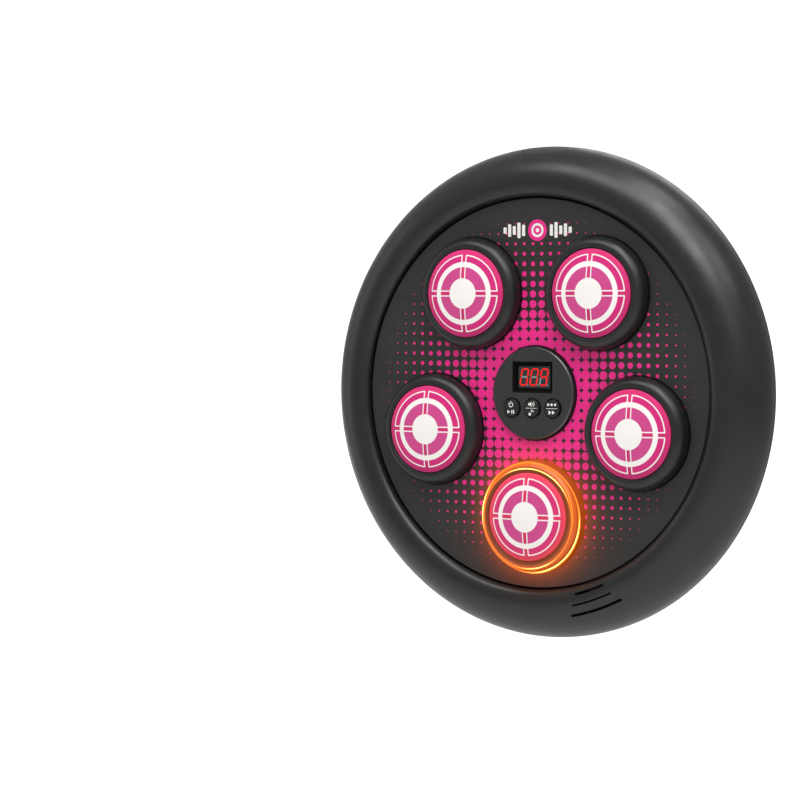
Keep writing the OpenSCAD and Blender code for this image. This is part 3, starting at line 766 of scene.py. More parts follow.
CAD_FINISHES: dict[str, Finish] = {
    "housing_abs": HOUSING,
    "face_abs": FACE,
    "panel_abs": PANEL,
    "display": DISPLAY_CASE,
    "button_abs": BUTTON,
    "pad_rubber": RUBBER,
    "pad_lit": LIT_RUBBER,
    "label_print": LABEL,
    "carrier_abs": Finish("natural_abs_carrier", "#D9D7CE", "#D0CEC4", 0.5, 0.6, 0.01),
    "frame_abs": Finish("dark_abs_frame", "#4A4C4E", "#444648", 0.5, 0.8, 0.02),
    "rear_abs": REAR,
    "plate_abs": PLATE,
    "tape_foam": FOAM,
    "board": CircuitBoard("green_circuit_board", "#1D5A36", "#184D2E", 0.35, 0.5, 0.004, 8.0),
    "lamp_board": CircuitBoard(
        "white_lamp_board", "#E6E7E2", "#DADBD5", 0.4, 0.5, 0.004, 8.0, track="#F2F2EE"
    ),
    "battery_wrap": Finish("blue_battery_sleeve", "#2F63B0", "#2A58A0", 0.3, 1.2, 0.01, 12.0),
    "speaker_black": Finish("black_paper_cone", "#1B1B1C", "#161617", 0.6, 0.4, 0.03, 6.0),
    "switch_black": Finish("black_nylon_switch", "#1E1F20", "#1A1B1C", 0.45, 0.4, 0.006, 4.0),
    "screw_steel": STEEL,
    "spring_steel": SPRING_STEEL,
    "socket_steel": Finish(
        "drawn_steel_socket", "#C6C8CB", "#B4B6BA", 0.25, 0.5, 0.003, 5.0, metallic=1.0
    ),
    "port_rubber": PORT_RUBBER,
    "ribbon": Finish(
        "grey_ribbon_cable", "#A9AAAC", "#8E8F92", 0.5, 1.0, 0.12, 5.0, stretch=(1.0, 0.2, 0.2)
    ),
    "lead_red": Finish("red_wire_sleeve", "#B3261E", "#A0211A", 0.4, 0.6, 0.01, 6.0),
    "lead_black": Finish("black_wire_sleeve", "#232324", "#1E1E1F", 0.4, 0.6, 0.01, 6.0),
}


@dataclass
class Workshop:
    """Hands out each finish's material once, and sets up each piece on its body."""

    made: dict[str, bpy.types.Material] = field(default_factory=dict)

    def material(self, finish: Finish) -> bpy.types.Material:
        """The finish's material, built when it is first asked for."""
        if finish.name not in self.made:
            self.made[finish.name] = finish.material()
        return self.made[finish.name]

    def hand_over(
        self,
        piece: Piece,
        finish: Finish,
        body: str,
        slot: str,
        replaced: tuple[str, ...] = (),
    ) -> Piece:
        """Dresses a piece, sets it on its body and hides the CAD nodes that it stands for.

        Args:
            piece: the finished object.
            finish: its finish.
            body: the CAD body that it rides on.
            slot: the record's material slot; not used.
            replaced: the CAD nodes that it stands for.

        Returns:
            The piece.
        """
        piece.data.materials.clear()
        piece.data.materials.append(self.material(finish))
        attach(piece, body)
        if replaced:
            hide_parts(*replaced)
        LOG.info("%s on %s: %d faces", piece.name, body, len(piece.data.polygons))
        return piece

    def add_finish(self, piece: Piece, finish: Finish, chosen: FaceTest) -> None:
        """Gives some of a piece's faces a further finish.

        Args:
            piece: the piece.
            finish: the further finish.
            chosen: says which faces take it, from the distance of each face's middle to the
                machine's axis, its height, and its x and z, all in millimetres.
        """
        mesh = piece.data
        mesh.materials.append(self.material(finish))
        x, y, z = read(mesh.polygons, "center", 3).T / MM
        index = read(mesh.polygons, "material_index", 1, np.int32).ravel()
        picked = chosen(np.hypot(x, z), -y - FACE_FROM_WALL, x, z)
        index[picked] = len(mesh.materials) - 1
        mesh.polygons.foreach_set("material_index", index)
        mesh.update()
        LOG.info("%s: %s on %d faces", piece.name, finish.name, int(picked.sum()))

    def dress_nodes(self) -> None:
        """Gives every CAD node the finish of its material slot."""
        for row in frame["record"]["subparts"]:
            node = frame["nodes"][row["node"]]
            node.data.materials.clear()
            node.data.materials.append(self.material(CAD_FINISHES[row["material_slot"]]))


# ---------------------------------------------------------------------------------------------
# Sub-assemblies
# ---------------------------------------------------------------------------------------------


@dataclass
class Housing:
    """The round rim: a rolled lip, a crest, a bowed shoulder and a short side wall."""

    work: Workshop
    rim_r: float = 197.7
    depth: float = 30.6
    crest_r: float = 168.0
    crest_h: float = 7.5
    lip_w: float = 10.9
    side_z: float = -25.5
    bow: float = 1.8
    wall: float = 2.6
    ledge_r: float = 148.0
    face_t: float = 3.0
    ledge_z: float = -5.7
    boss_z: float = -28.1
    around: int = 384
    speaker_at: float = -71.0
    speaker_circle_r: float = 176.0
    boss_in: float = 8.2
    bosses: int = 6
    slots: tuple[tuple[float, float, float], ...] = (
        (163.7, 25, 2.2), (172, 36, 1.4), (179.9, 46, 2.2),
    )
    port_w: float = 40.0
    port_angle: float = 37.5
    port_gap: float = 0.35
    port_floor: float = -2.4

    def shoulder(self, degrees: np.ndarray, inset: float = 0.0) -> np.ndarray:
        """Points of the shoulder, from the side wall (0) to the crest (90).

        A quarter of the curve (u to the bow) + (v to the bow) = 1, where u and v are the shares of
        the way out to the rim and up to the crest: u = cos^(2/bow), v = sin^(2/bow).
        """
        turn = np.radians(degrees)
        across = np.clip(np.cos(turn), 0, 1) ** (2 / self.bow)
        upward = np.clip(np.sin(turn), 0, 1) ** (2 / self.bow)
        reach = self.crest_r + (self.rim_r - self.crest_r - inset) * across
        return np.stack([reach, self.side_z + (self.crest_h - self.side_z - inset) * upward], axis=1)

    def lip(self, degrees: np.ndarray, inset: float = 0.0) -> np.ndarray:
        """Points of the lip, a quarter ellipse from the crest (90) in to the face plate (0)."""
        turn = np.radians(degrees)
        reach = self.crest_r - (self.lip_w - inset) * np.cos(turn)
        return np.stack([reach, (self.crest_h - inset) * np.sin(turn)], axis=1)

    def outer_curve(self, inset: float, rear: float) -> np.ndarray:
        """The outline from the rear edge, up the side and over the crest to the lip's foot."""
        shoulder = self.shoulder(np.linspace(0, 90, 73), inset)
        lip = self.lip(np.linspace(90, 0, 25)[1:], inset)
        return np.vstack([[[self.rim_r - inset, rear]], shoulder, lip])

    def filled(self, inset: float, rear: float) -> Shape:
        """Everything between the opening and the outer surface, moved in by inset."""
        curve = self.outer_curve(inset, rear)
        return lathe(np.vstack([curve, [[curve[-1, 0], rear]]]), self.around)

    def port_ends(self) -> tuple[np.ndarray, np.ndarray]:
        """The port's front and back on the shoulder, as (r, h)."""
        front, back = self.shoulder(np.array([self.port_angle, 0.0]))
        return front, back

    def port_prism(self, outline: np.ndarray, low: float, high: float) -> Shape:
        """A prism in the port's own frame, which stands square on the shoulder."""
        shape = prism(outline, low, high)
        front, back = self.port_ends()
        middle = (front + back) / 2
        tilt = math.atan2(back[0] - front[0], front[1] - back[1]) - math.pi / 2
        x, v, height = shape.points.T
        y = v * math.cos(tilt) - height * math.sin(tilt)
        h = v * math.sin(tilt) + height * math.cos(tilt)
        shape.points = np.stack([x, y + middle[0], h + middle[1]], axis=1)
        return shape

    def port_oval(self, grow: float, low: float, high: float) -> Shape:
        """A prism with round ends, standing square on the shoulder, grown all round by grow."""
        front, back = self.port_ends()
        half_run = float(np.linalg.norm(back - front)) / 2 + grow
        reach = self.port_w / 2 + grow - half_run
        ends = [arc((reach, 0), half_run, -90, 90, 24), arc((-reach, 0), half_run, 90, 270, 24)]
        return self.port_prism(np.vstack(ends), low, high)

    def sound_slot(self, radius: float, run: float, width: float) -> Shape:
        """A cutter along an arc with round ends, centred in front of the speaker."""
        half = math.degrees(run / radius / 2)
        low, high = self.speaker_at - half, self.speaker_at + half
        ends = [on_circle(radius, angle) for angle in (high, low)]
        outline = np.vstack(
            [
                arc((0, 0), radius + width / 2, low, high, 24),
                arc(tuple(ends[0]), width / 2, high, high + 180, 8)[1:-1],
                arc((0, 0), radius - width / 2, high, low, 24),
                arc(tuple(ends[1]), width / 2, low + 180, low + 360, 8)[1:-1],
            ]
        )
        return prism(outline, -6.0, self.crest_h + 1)

    def inner_ribs(self) -> Shape:
        """The six screw bosses and the speaker's collar, before they are trimmed to the wall."""
        top = self.crest_h
        ring = np.array([[1.5, self.boss_z], [4.0, self.boss_z], [4.0, top], [1.5, top]])
        collar = np.array([[13.2, -12.0], [15.8, -12.0], [15.8, top], [13.2, top]])
        ribs = [lathe(collar, 48, tuple(on_circle(self.speaker_circle_r, self.speaker_at)))]
        for k in range(self.bosses):
            at = on_circle(self.rim_r - self.boss_in, 360.0 / self.bosses * k)
            ribs.append(lathe(ring, 24, tuple(at)))
        return joined(ribs)

    def polish(self, piece: Piece) -> None:
        """Sets exact normals on the outer curve, so that its long highlights run true.

        The curve is (u to the bow) + (v to the bow) = 1 on the shoulder and an ellipse on the lip;
        its normal is the slope of that sum. Faces that aren't part of it keep their own normals.
        """
        mesh = piece.data
        mesh.shade_smooth()
        corner = read(mesh.loops, "vertex_index", 1, np.int32).ravel()
        place = read(mesh.vertices, "co", 3)[corner] / MM
        count = read(mesh.polygons, "loop_total", 1, np.int32).ravel()
        own = np.repeat(read(mesh.polygons, "normal", 3), count, axis=0)
        reach = np.hypot(place[:, 0], place[:, 2])
        height = -place[:, 1] - FACE_FROM_WALL
        wide, tall = self.rim_r - self.crest_r, self.crest_h - self.side_z
        u = np.clip((reach - self.crest_r) / wide, 0, 1)
        v = np.clip((height - self.side_z) / tall, 0, 1)
        out = u ** (self.bow - 1) / wide
        up = v ** (self.bow - 1) / tall
        lip = reach < self.crest_r
        out = np.where(lip, (reach - self.crest_r) / self.lip_w**2, out)
        up = np.where(lip, np.maximum(height, 0) / self.crest_h**2, up)
        true = np.stack([out * place[:, 0] / reach, -up, out * place[:, 2] / reach], axis=1)
        true /= np.maximum(np.linalg.norm(true, axis=1, keepdims=True), 1e-12)
        near = np.sum(true * own, axis=1) > math.cos(math.radians(6))
        on_curve = near & (height > self.side_z - 0.01)
        mesh.normals_split_custom_set(np.where(on_curve[:, None], true, own).tolist())

    def rim(self) -> Piece:
        """The rim: turned section, port pocket with its floor, sound slots and inner ribs."""
        inner = self.outer_curve(self.wall, -self.depth)[::-1]
        outer = self.outer_curve(0.0, -self.depth)
        seat = np.array(
            [
                [outer[-1, 0], -self.face_t], [self.ledge_r, -self.face_t],
                [self.ledge_r, self.ledge_z], [inner[0, 0], self.ledge_z],
            ]
        )
        piece = make_object("rim", lathe(np.vstack([outer, seat, inner]), self.around))
        core = self.filled(self.wall / 2, self.boss_z)
        for ribs in (self.inner_ribs(), self.port_oval(2.2, self.port_floor - 2.0, 8.0)):
            extra = make_object("extra", ribs)
            combine(extra, core, Cut.KEEP_SHARED)
            combine(piece, self.as_shape(extra), Cut.JOIN)
            bpy.data.objects.remove(extra)
        combine(piece, self.port_oval(self.port_gap, self.port_floor, 12.0), Cut.REMOVE)
        mouth = rounded_outline(9.8, 4.2, 2.05)
        combine(piece, self.port_prism(mouth, self.port_floor - 3, self.port_floor + 1), Cut.REMOVE)
        for radius, run, width in self.slots:
            combine(piece, self.sound_slot(radius, run, width), Cut.REMOVE)
        self.polish(piece)
        self.work.hand_over(piece, HOUSING, "housing", "housing_abs", ("rim_shell",))
        # Painted shade: the seat under the face plate's gap is made near-black.
        self.work.add_finish(piece, WINDOW_BLACK_AND_GAP_SHADE, self.in_painted_shade_seat)
        return piece

    def in_painted_shade_seat(self, reach: np.ndarray, height: np.ndarray, *_: np.ndarray) -> np.ndarray:
        """Which faces belong to the face plate's seat, made near-black as painted shade in its gap."""
        opening = self.crest_r - self.lip_w
        return (reach < opening + 0.2) & (height < -0.1) & (height > self.ledge_z + 0.5)

    @staticmethod
    def as_shape(piece: Piece) -> Shape:
        """Reads a standing mesh back as a lying-down shape."""
        x, y, z = read(piece.data.vertices, "co", 3).astype(float).T / MM
        faces = [list(face.vertices) for face in piece.data.polygons]
        return Shape(np.stack([x, z, -y - FACE_FROM_WALL], axis=1), faces)

    def port_cover(self) -> Piece:
        """The soft cover over the charging port, whose front follows the shoulder."""
        piece = make_object("port_cover_soft", self.port_oval(0.0, self.port_floor + 0.2, 12.0))
        combine(piece, self.filled(0.0, -self.depth), Cut.KEEP_SHARED)
        self.polish(piece)
        return self.work.hand_over(piece, PORT_RUBBER, "port_flap", "port_rubber", ("port_cover",))

    def build(self) -> None:
        """Makes the rim and the port cover."""
        self.rim()
        self.port_cover()


@dataclass
class FacePlate:
    """The printed plate that the pads and the panel stand in, and its small generic mark."""

    work: Workshop
    radius: float = 155.9
    thick: float = 3.0
    edge: float = 0.6
    pad_hole_r: float = 45.8
    panel_hole_r: float = 38.3
    hole_edge: float = 0.3
    mark_at: Point = (2.0, 130.0)
    bar_heights: tuple[float, ...] = (5.0, 10.0, 7.0, 12.5, 9.0)
    bar_w: float = 2.9
    bar_reach: float = 30.0
    bar_pitch: float = 4.3

    def hole(self, radius: float, at: Point) -> Shape:
        """A cutter with a slightly flared mouth, which leaves a softened edge."""
        mouth = radius + self.hole_edge
        profile = np.array(
            [
                [0, -self.thick - 1], [radius, -self.thick - 1], [radius, -self.hole_edge],
                [radius + self.hole_edge * 0.3, -self.hole_edge * 0.3], [mouth, 0.0],
                [mouth, 1.0], [0, 1.0],
            ]
        )
        return lathe(profile, 160, at)

    def plate(self) -> Piece:
        """The plate itself."""
        slope = np.array([[self.radius, -self.edge], [self.radius - self.edge, 0]])
        profile = np.vstack([[[0, -self.thick], [self.radius, -self.thick]], slope, [[0, 0]]])
        piece = make_object("face_plate_printed", lathe(profile, 256))
        combine(piece, self.hole(self.panel_hole_r, (0.0, 0.0)), Cut.REMOVE)
        for at in PAD_PLACES.values():
            combine(piece, self.hole(self.pad_hole_r, at), Cut.REMOVE)
        smooth(piece)
        self.work.hand_over(piece, FACE, "housing", "face_abs", ("face_plate",))
        self.work.add_finish(piece, EDGE, self.on_highlit_edge)
        return piece

    def on_highlit_edge(self, reach: np.ndarray, height: np.ndarray, *_: np.ndarray) -> np.ndarray:
        """Which faces belong to the sloping edge round the plate's front, which takes the painted
        highlight.
        """
        return (reach > self.radius - self.edge) & (height > -self.edge)

    def mark(self) -> None:
        """A plain mark above the panel: sound bars either side of a ringed pink disc."""
        middle, root, lift = self.mark_at, -0.1, 0.06
        pink = make_object("mark_disc", prism(circle(middle, 8.6, 64), root, lift))
        self.work.hand_over(pink, PINK_INK, "housing", "face_abs")
        bars: list[Shape] = []
        for k, tall in enumerate(self.bar_heights):
            for side in (-1, 1):
                at = np.array([middle[0] + side * (self.bar_reach - self.bar_pitch * k), middle[1]])
                bars.append(prism(rounded_outline(self.bar_w, tall, 0.7) + at, root, lift))
        ring = prism(circle(middle, 5.6, 48), root, lift + 0.03)
        white = make_object("mark_bars", joined([*bars, ring]))
        combine(white, prism(circle(middle, 3.7, 48), -1, 1), Cut.REMOVE)
        dot = make_object("mark_dot", prism(circle(middle, 1.7, 32), root, lift + 0.03))
        for piece in (white, dot):
            self.work.hand_over(piece, WHITE_INK, "housing", "face_abs")

    def build(self) -> None:
        """Makes the plate and its mark."""
        self.plate()
        self.mark()


@dataclass(frozen=True)
class Thread:
    """A thread of light that runs round a pad's shoulder.

    Its height is height + lean_x cos t + lean_y sin t round the pad, it stands lift off the
    shoulder, and it is brightest at the angles in bright_at.
    """

    height: float
    lean_x: float
    lean_y: float
    lift: float
    faint: float
    bright: float
    bright_at: tuple[float, ...]
    spread: float = 24.0
    thick: float = 0.45


@dataclass
class StrikePads:
    """The five sprung pads: a rolled rubber cap round a domed printed disc."""

    work: Workshop
    radius: float = 45.0
    crest: float = 13.0
    shoulder_w: float = 7.6
    shoulder_z: float = 3.0
    disc_r: float = 35.2
    disc_seat: float = 9.8
    disc_edge: float = 12.8
    dome: float = 4.6
    around: int = 160
    threads: tuple[Thread, ...] = (
        Thread(7.0, -0.6, 2.6, 0.25, 0.8, 1.7, (275.0, 200.0)),
        Thread(12.2, 0.0, 0.7, 0.05, 0.6, 3.2, (95.0, 50.0, 285.0), thick=0.38),
        Thread(8.5, -1.5, 1.5, 0.15, 0.7, 3.4, (170.0, 338.0, 300.0), thick=0.38),
        Thread(10.6, 1.2, -0.5, 0.05, 0.5, 0.8, (20.0, 140.0), thick=0.34),
    )

    def cap_profile(self) -> np.ndarray:
        """The cap's section: flange, side, quarter-ellipse shoulder, recess and hollow back."""
        turn = np.radians(np.linspace(0, 90, 25))
        reach = self.radius - self.shoulder_w * (1 - np.cos(turn))
        rise = self.shoulder_z + (self.crest - self.shoulder_z) * np.sin(turn)
        crown = np.stack([reach, rise], axis=1)
        recess = self.disc_r + 0.8
        lip = arc((recess + 0.7, self.crest - 0.7), 0.7, 90, 180, 5)
        wall = self.radius - 2.9
        front = [[48.0, -5.6], [48.0, -3.3], [self.radius, -3.3]]
        back = [
            [recess, self.disc_seat], [0, self.disc_seat], [0, 7.3], [35.5, 7.3],
            [wall, self.shoulder_z - 1], [wall, -5.6],
        ]
        return np.vstack([front, crown, lip, back])

    def disc_profile(self) -> np.ndarray:
        """The disc's section: a flat back, a softened edge and a spherical dome."""
        sphere = (self.disc_r**2 + self.dome**2) / (2 * self.dome)
        widest = math.asin(self.disc_r / sphere)
        turn = np.linspace(widest, 0, 33)
        top = self.disc_edge + self.dome
        dome = np.stack([sphere * np.sin(turn), top - sphere * (1 - np.cos(turn))], axis=1)
        r, edge = self.disc_r, self.disc_edge
        dome[0] = (r - 0.35, edge + 0.06)
        back = [[0, self.disc_seat], [r, self.disc_seat]]
        return np.vstack([back, [[r, edge - 0.45], [r - 0.08, edge - 0.15]], dome])

    def map_disc(self, piece: Piece, at: Point) -> None:
        """Maps the disc: each corner's place across the disc, moved into 0 to 1."""
        mesh = piece.data
        corner = read(mesh.loops, "vertex_index", 1, np.int32).ravel()
        place = read(mesh.vertices, "co", 3)[corner] / MM
        across = (place[:, [0, 2]] - np.array(at)) / self.disc_r
        layer = mesh.uv_layers.new(name="disc")
        layer.data.foreach_set("uv", (across * 0.5 + 0.5).astype(np.float32).ravel())

    def thread(self, name: str, run: Thread, at: Point) -> None:
        """One thread of light: a thin tube that follows the cap's shoulder.

        At angle t the tube's middle is at height h and radius r, where h is the thread's own height
        and r is the shoulder's quarter ellipse at h, plus the lift. Its glow is faint + bright
        times the sum, over the bright angles, of e to the minus (angle away over the spread)
        squared.

        Args:
            name: the piece's name.
            run: the thread's course and light.
            at: the pad's middle.
        """
        around, sides = 240, 8
        turn = np.arange(around) * (2 * math.pi / around)
        height = run.height + run.lean_x * np.cos(turn) + run.lean_y * np.sin(turn)
        rise = np.clip((height - self.shoulder_z) / (self.crest - self.shoulder_z), 0, 1)
        radius = self.radius - self.shoulder_w * (1 - np.sqrt(1 - rise**2)) + run.lift
        shape = tube(at, turn, radius, height, run.thick, sides)
        start = np.arange(around) * sides
        shape.faces = between_rings(start, np.roll(start, -1), sides)
        piece = make_object(name, shape)
        place = read(piece.data.vertices, "co", 3) / MM
        angle = np.degrees(np.arctan2(place[:, 2] - at[1], place[:, 0] - at[0]))
        away = np.stack([(angle - peak + 180) % 360 - 180 for peak in run.bright_at])
        glow = run.faint + run.bright * np.exp(-((away / run.spread) ** 2)).sum(axis=0)
        layer = piece.data.attributes.new("glow", "FLOAT", "POINT")
        layer.data.foreach_set("value", glow.astype(np.float32))
        piece.data.shade_smooth()
        self.work.hand_over(piece, THREAD, f"pad_{LIT_PAD}", "pad_lit")

    def build(self) -> None:
        """Makes the cap and the disc of each pad, and the lit pad's threads of light."""
        for number, run in enumerate(self.threads):
            self.thread(f"pad_light_thread_{number}", run, LIT_AT)
        for name, at in PAD_PLACES.items():
            skin, slot, label = RUBBER, "pad_rubber", LABEL
            if name == LIT_PAD:
                skin, slot, label = LIT_RUBBER, "pad_lit", LIT_LABEL
            body = f"pad_{name}"
            cap = make_object(f"pad_cap_{name}", lathe(self.cap_profile(), self.around, at))
            smooth(cap)
            self.work.hand_over(cap, skin, body, slot, (f"strike_pad_{name}",))
            disc = make_object(f"pad_disc_{name}", lathe(self.disc_profile(), self.around, at))
            self.map_disc(disc, at)
            smooth(disc)
            self.work.hand_over(disc, label, body, "label_print", (f"pad_label_{name}",))


@dataclass
class Springs:
    """The pads' return springs, drawn at rest; these pieces don't shorten as a pad is pressed."""

    work: Workshop
    coil_r: float = 10.5
    wire: float = 1.4
    turns: int = 4
    low: float = -11.2
    high: float = 3.5

    def coil(self, at: Point) -> Shape:
        """A wire along a helix with closed, flattened end turns.

        At turn angle t the wire's middle is at radius coil_r. Its height runs from low to high as
        a straight line in t, eased at both ends so that the end turns lie nearly flat.
        """
        per_turn, sides = 48, 10
        count = self.turns * per_turn + 1
        share = np.linspace(0, 1, count)
        eased = share - 0.5 * np.sin(2 * math.pi * share) / (2 * math.pi)
        turn = share * self.turns * 2 * math.pi
        height = self.low + (self.high - self.low) * eased
        shape = tube(at, turn, np.full(count, self.coil_r), height, self.wire / 2, sides)
        start = np.arange(count - 1) * sides
        last = (count - 1) * sides
        ends = [list(range(sides)), list(range(last, last + sides))]
        shape.faces = between_rings(start, start + sides, sides) + ends
        return shape

    def build(self) -> None:
        """Makes each pad's spring, running from the housing at its foot up to the pad at its head."""
        for name, at in PAD_PLACES.items():
            piece = make_object(f"pad_coil_{name}", self.coil(at))
            smooth(piece)
            piece.data.materials.append(self.work.material(SPRING_STEEL))
            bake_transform(piece)
            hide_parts(f"pad_spring_{name}")
            LOG.info("%s: %d faces", piece.name, len(piece.data.polygons))


@dataclass
class AdhesiveStrips:
    """The wall plate's three strips: soft foam between two thin glued films."""

    work: Workshop
    size: tuple[float, float] = (34.0, 78.0)
    pitch: float = 43.0
    thick: float = 1.0
    film: float = 0.1
    squeeze: float = 0.35

    def build(self) -> None:
        """Makes the strips; the foam's edge is drawn in a little between the films."""
        strips: list[Shape] = []
        wall = -FACE_FROM_WALL
        front, middle = wall + self.thick, wall + self.thick / 2
        wide, tall = (side - 2 * self.squeeze for side in self.size)
        for k in (-1, 0, 1):
            at = np.array([k * self.pitch, 0.0])
            full = rounded_outline(*self.size, 2.0) + at
            slim = rounded_outline(wide, tall, 1.7) + at
            strips += [
                prism(full, wall, wall + self.film),
                taper(full, slim, wall + self.film * 0.5, middle),
                taper(slim, full, middle - 0.01, front - self.film * 0.5),
                prism(full, front - self.film, front),
            ]
        piece = make_object("adhesive_foam_strips", joined(strips))
        self.work.hand_over(piece, FOAM, "wall_mount", "tape_foam", ("adhesive_strips",))


@dataclass
class ControlPanel:
    """The raised round panel: a sloping window, a three-digit display and three keys."""

    work: Workshop
    radius: float = 37.1
    front: float = 4.5
    wall: float = 2.5
    bevel: float = 1.0
    window: tuple[float, float] = (36.9, 25.0)
    window_up: float = 12.8
    window_slope: float = 2.3
    display_h: float = 1.6
    display_gap: float = 1.2
    key_r: float = 6.9
    key_gap: float = 1.1
    key_pitch: float = 18.8
    key_down: float = 11.9
    key_front: float = 5.8
    key_flange: float = 2.1
    stem_end: float = -6.9
    print_scale: float = 1.22
    posts: tuple[tuple[float, float], ...] = ((28, -2), (-28, -2), (0, -28.5))

    def window_frame(self, inset: float, corner: float) -> np.ndarray:
        """The window's outline, moved in by inset."""
        wide, tall = (side - 2 * inset for side in self.window)
        return rounded_outline(wide, tall, corner) + np.array([0.0, self.window_up])

    def panel(self) -> Piece:
        """The panel's shell, with its flange, window, key holes and rear posts."""
        r, front, under = self.radius, self.front, self.front - self.wall
        soft, low = 0.12, front - self.bevel
        profile = [
            [r - self.wall, -5.5], [r + 3.9, -5.5], [r + 3.9, -3.0], [r, -3.0],
            [r, low - soft], [r - soft * 0.4, low + soft * 0.6],
            [r - self.bevel + soft * 0.6, front - soft * 0.4], [r - self.bevel - soft, front],
            [0, front], [0, under], [r - self.wall, under],
        ]
        piece = make_object("panel_shell", lathe(np.array(profile), 192))
        rim = prism(self.window_frame(-1.2, 0.6), self.display_h, under + 0.2)
        combine(piece, rim, Cut.JOIN)
        for at in self.posts:
            post = np.array([[1.0, -12.0], [3.0, -12.0], [3.0, under + 0.1], [1.0, under + 0.1]])
            combine(piece, lathe(post, 32, at), Cut.JOIN)
        slope = self.window_slope / (front - self.display_h)
        mouth = self.window_frame(-slope, 0.7)
        foot = self.window_frame(self.window_slope + slope, 0.3)
        combine(piece, taper(foot, mouth, self.display_h - 1, front + 1), Cut.REMOVE)
        hole = self.key_r + self.key_gap
        dish = [
            [0, under - 1], [hole, under - 1], [hole, front - 0.2],
            [hole + 0.2, front], [hole + 0.2, front + 1], [0, front + 1],
        ]
        for side in (-1, 0, 1):
            at = (side * self.key_pitch, -self.key_down)
            combine(piece, lathe(np.array(dish), 96, at), Cut.REMOVE)
        smooth(piece)
        self.work.hand_over(piece, PANEL, "housing", "panel_abs", ("control_panel",))
        self.work.add_finish(piece, WINDOW_BLACK_AND_GAP_SHADE, self.in_window)
        self.work.add_finish(piece, EDGE, self.on_highlit_bevel)
        return piece

    def in_window(
        self, reach: np.ndarray, height: np.ndarray, x: np.ndarray, z: np.ndarray
    ) -> np.ndarray:
        """Which faces lie inside the window, behind the panel's front."""
        wide, tall = self.window
        inside = (np.abs(x) < wide / 2) & (np.abs(z - self.window_up) < tall / 2)
        return inside & (height < self.front - 0.05) & (height > self.display_h - 0.05)

    def on_highlit_bevel(self, reach: np.ndarray, height: np.ndarray, *_: np.ndarray) -> np.ndarray:
        """Which faces belong to the bevel round the panel's front, which takes the painted highlight."""
        level = (height > self.front - self.bevel) & (height < self.front - 0.02)
        return level & (reach > self.radius - self.bevel)

    def key_profile(self) -> np.ndarray:
        """A key's section: stem, flange, side and a low domed front."""
        r, front, flange = self.key_r, self.key_front, self.front - self.wall - 0.3
        under, wide, stem = flange - 1.2, r + self.key_flange, self.stem_end
        edge = arc((r - 0.6, front), 0.6, 0, 90, 8)
        edge[:, 1] = front + (edge[:, 1] - front) * 0.5 / 0.6
        share = np.linspace(1, 0, 9)[1:]
        dome = np.stack([(r - 0.6) * share, front + 0.5 + 0.2 * (1 - share**2)], axis=1)
        back = [[0, stem], [2, stem], [2, under], [wide, under], [wide, flange], [r, flange]]
        return np.vstack([back, edge, dome])

    def print_skin(self, at: Point) -> Shape:
        """A thin skin over a key's dome: what a printed symbol may fill."""
        share = np.linspace(1, 0, 9)
        rise = self.key_front + 0.53 + 0.2 * (1 - share**2)
        top = np.stack([(self.key_r - 0.7) * share, rise], axis=1)
        under = top[::-1] - np.array([0.0, 0.12])
        return lathe(np.vstack([top, under]), 64, at)

    def symbols(self) -> dict[str, list[np.ndarray]]:
        """The printed symbols' outlines, about each key's middle."""
        ring = np.vstack([arc((0, 2.1), 1.75, 130, 410, 24), arc((0, 2.1), 1.2, 410, 130, 24)])
        stroke = rounded_outline(0.6, 2.0, 0.2) + np.array([0.0, 3.4])
        play = np.array([[-2.6, -2.6 - 1.2], [-0.5, -2.6], [-2.6, -2.6 + 1.2]])
        pauses = [rounded_outline(0.75, 2.4, 0.15) + np.array([x, -2.6]) for x in (0.75, 2.1)]
        line = rounded_outline(8.4, 0.28, 0.1)
        horn = np.array([[-2.2, 1.9], [-1.2, 1.9], [0.2, 0.9], [0.2, 4.3], [-1.2, 3.3], [-2.2, 3.3]])
        waves = [
            np.vstack([arc((0, 2.6), r + 0.22, -40, 40, 8), arc((0, 2.6), r - 0.22, 40, -40, 8)])
            for r in (1.3, 2.3)
        ]
        head = circle((-1.1, -3.9), 0.95, 20)
        stem = np.array(
            [
                [-0.5, -3.5], [-0.15, -3.5], [-0.15, -1.9], [1.5, -2.7],
                [1.5, -2.1], [-0.15, -1.1], [-0.5, -1.1],
            ]
        )
        dots = [circle((x, 2.5), 0.85, 20) for x in (-2.6, 0.0, 2.6)]
        rush = [np.array([[x - 1.0, -4.0], [x + 1.1, -2.6], [x - 1.0, -1.2]]) for x in (-1.3, 1.3)]
        return {
            "power": [ring, stroke, play, *pauses],
            "volume": [horn, *waves, line, head, stem + np.array([0.45, 0.2])],
            "mode": [*dots, line, *rush],
        }

    def keys(self) -> None:
        """The three keys and their printed symbols."""
        for (name, outlines), side in zip(self.symbols().items(), (-1, 0, 1)):
            at = (side * self.key_pitch, -self.key_down)
            key = make_object(f"key_{name}", lathe(self.key_profile(), 96, at))
            smooth(key)
            self.work.hand_over(key, BUTTON, f"{name}_key", "button_abs", (f"{name}_button",))
            for number, outline in enumerate(outlines):
                drawn = outline * self.print_scale + np.array(at)
                cut = prism(drawn, self.key_front - 1, self.key_front + 2)
                symbol = make_object(f"key_{name}_print_{number}", cut)
                combine(symbol, self.print_skin(at), Cut.KEEP_SHARED)
                self.work.hand_over(symbol, WHITE_INK, f"{name}_key", "button_abs")

    def build(self) -> None:
        """Makes the panel, its keys and the display."""
        self.panel()
        self.keys()
        Display(self.work, self).build()


class Segment(Enum):
    """The seven bars of a digit, by the two corners that each joins."""

    TOP = ((-1, 2), (1, 2))
    TOP_LEFT = ((-1, 1), (-1, 2))
    TOP_RIGHT = ((1, 1), (1, 2))
    MIDDLE = ((-1, 1), (1, 1))
    LOW_LEFT = ((-1, 0), (-1, 1))
    LOW_RIGHT = ((1, 0), (1, 1))
    BOTTOM = ((-1, 0), (1, 0))


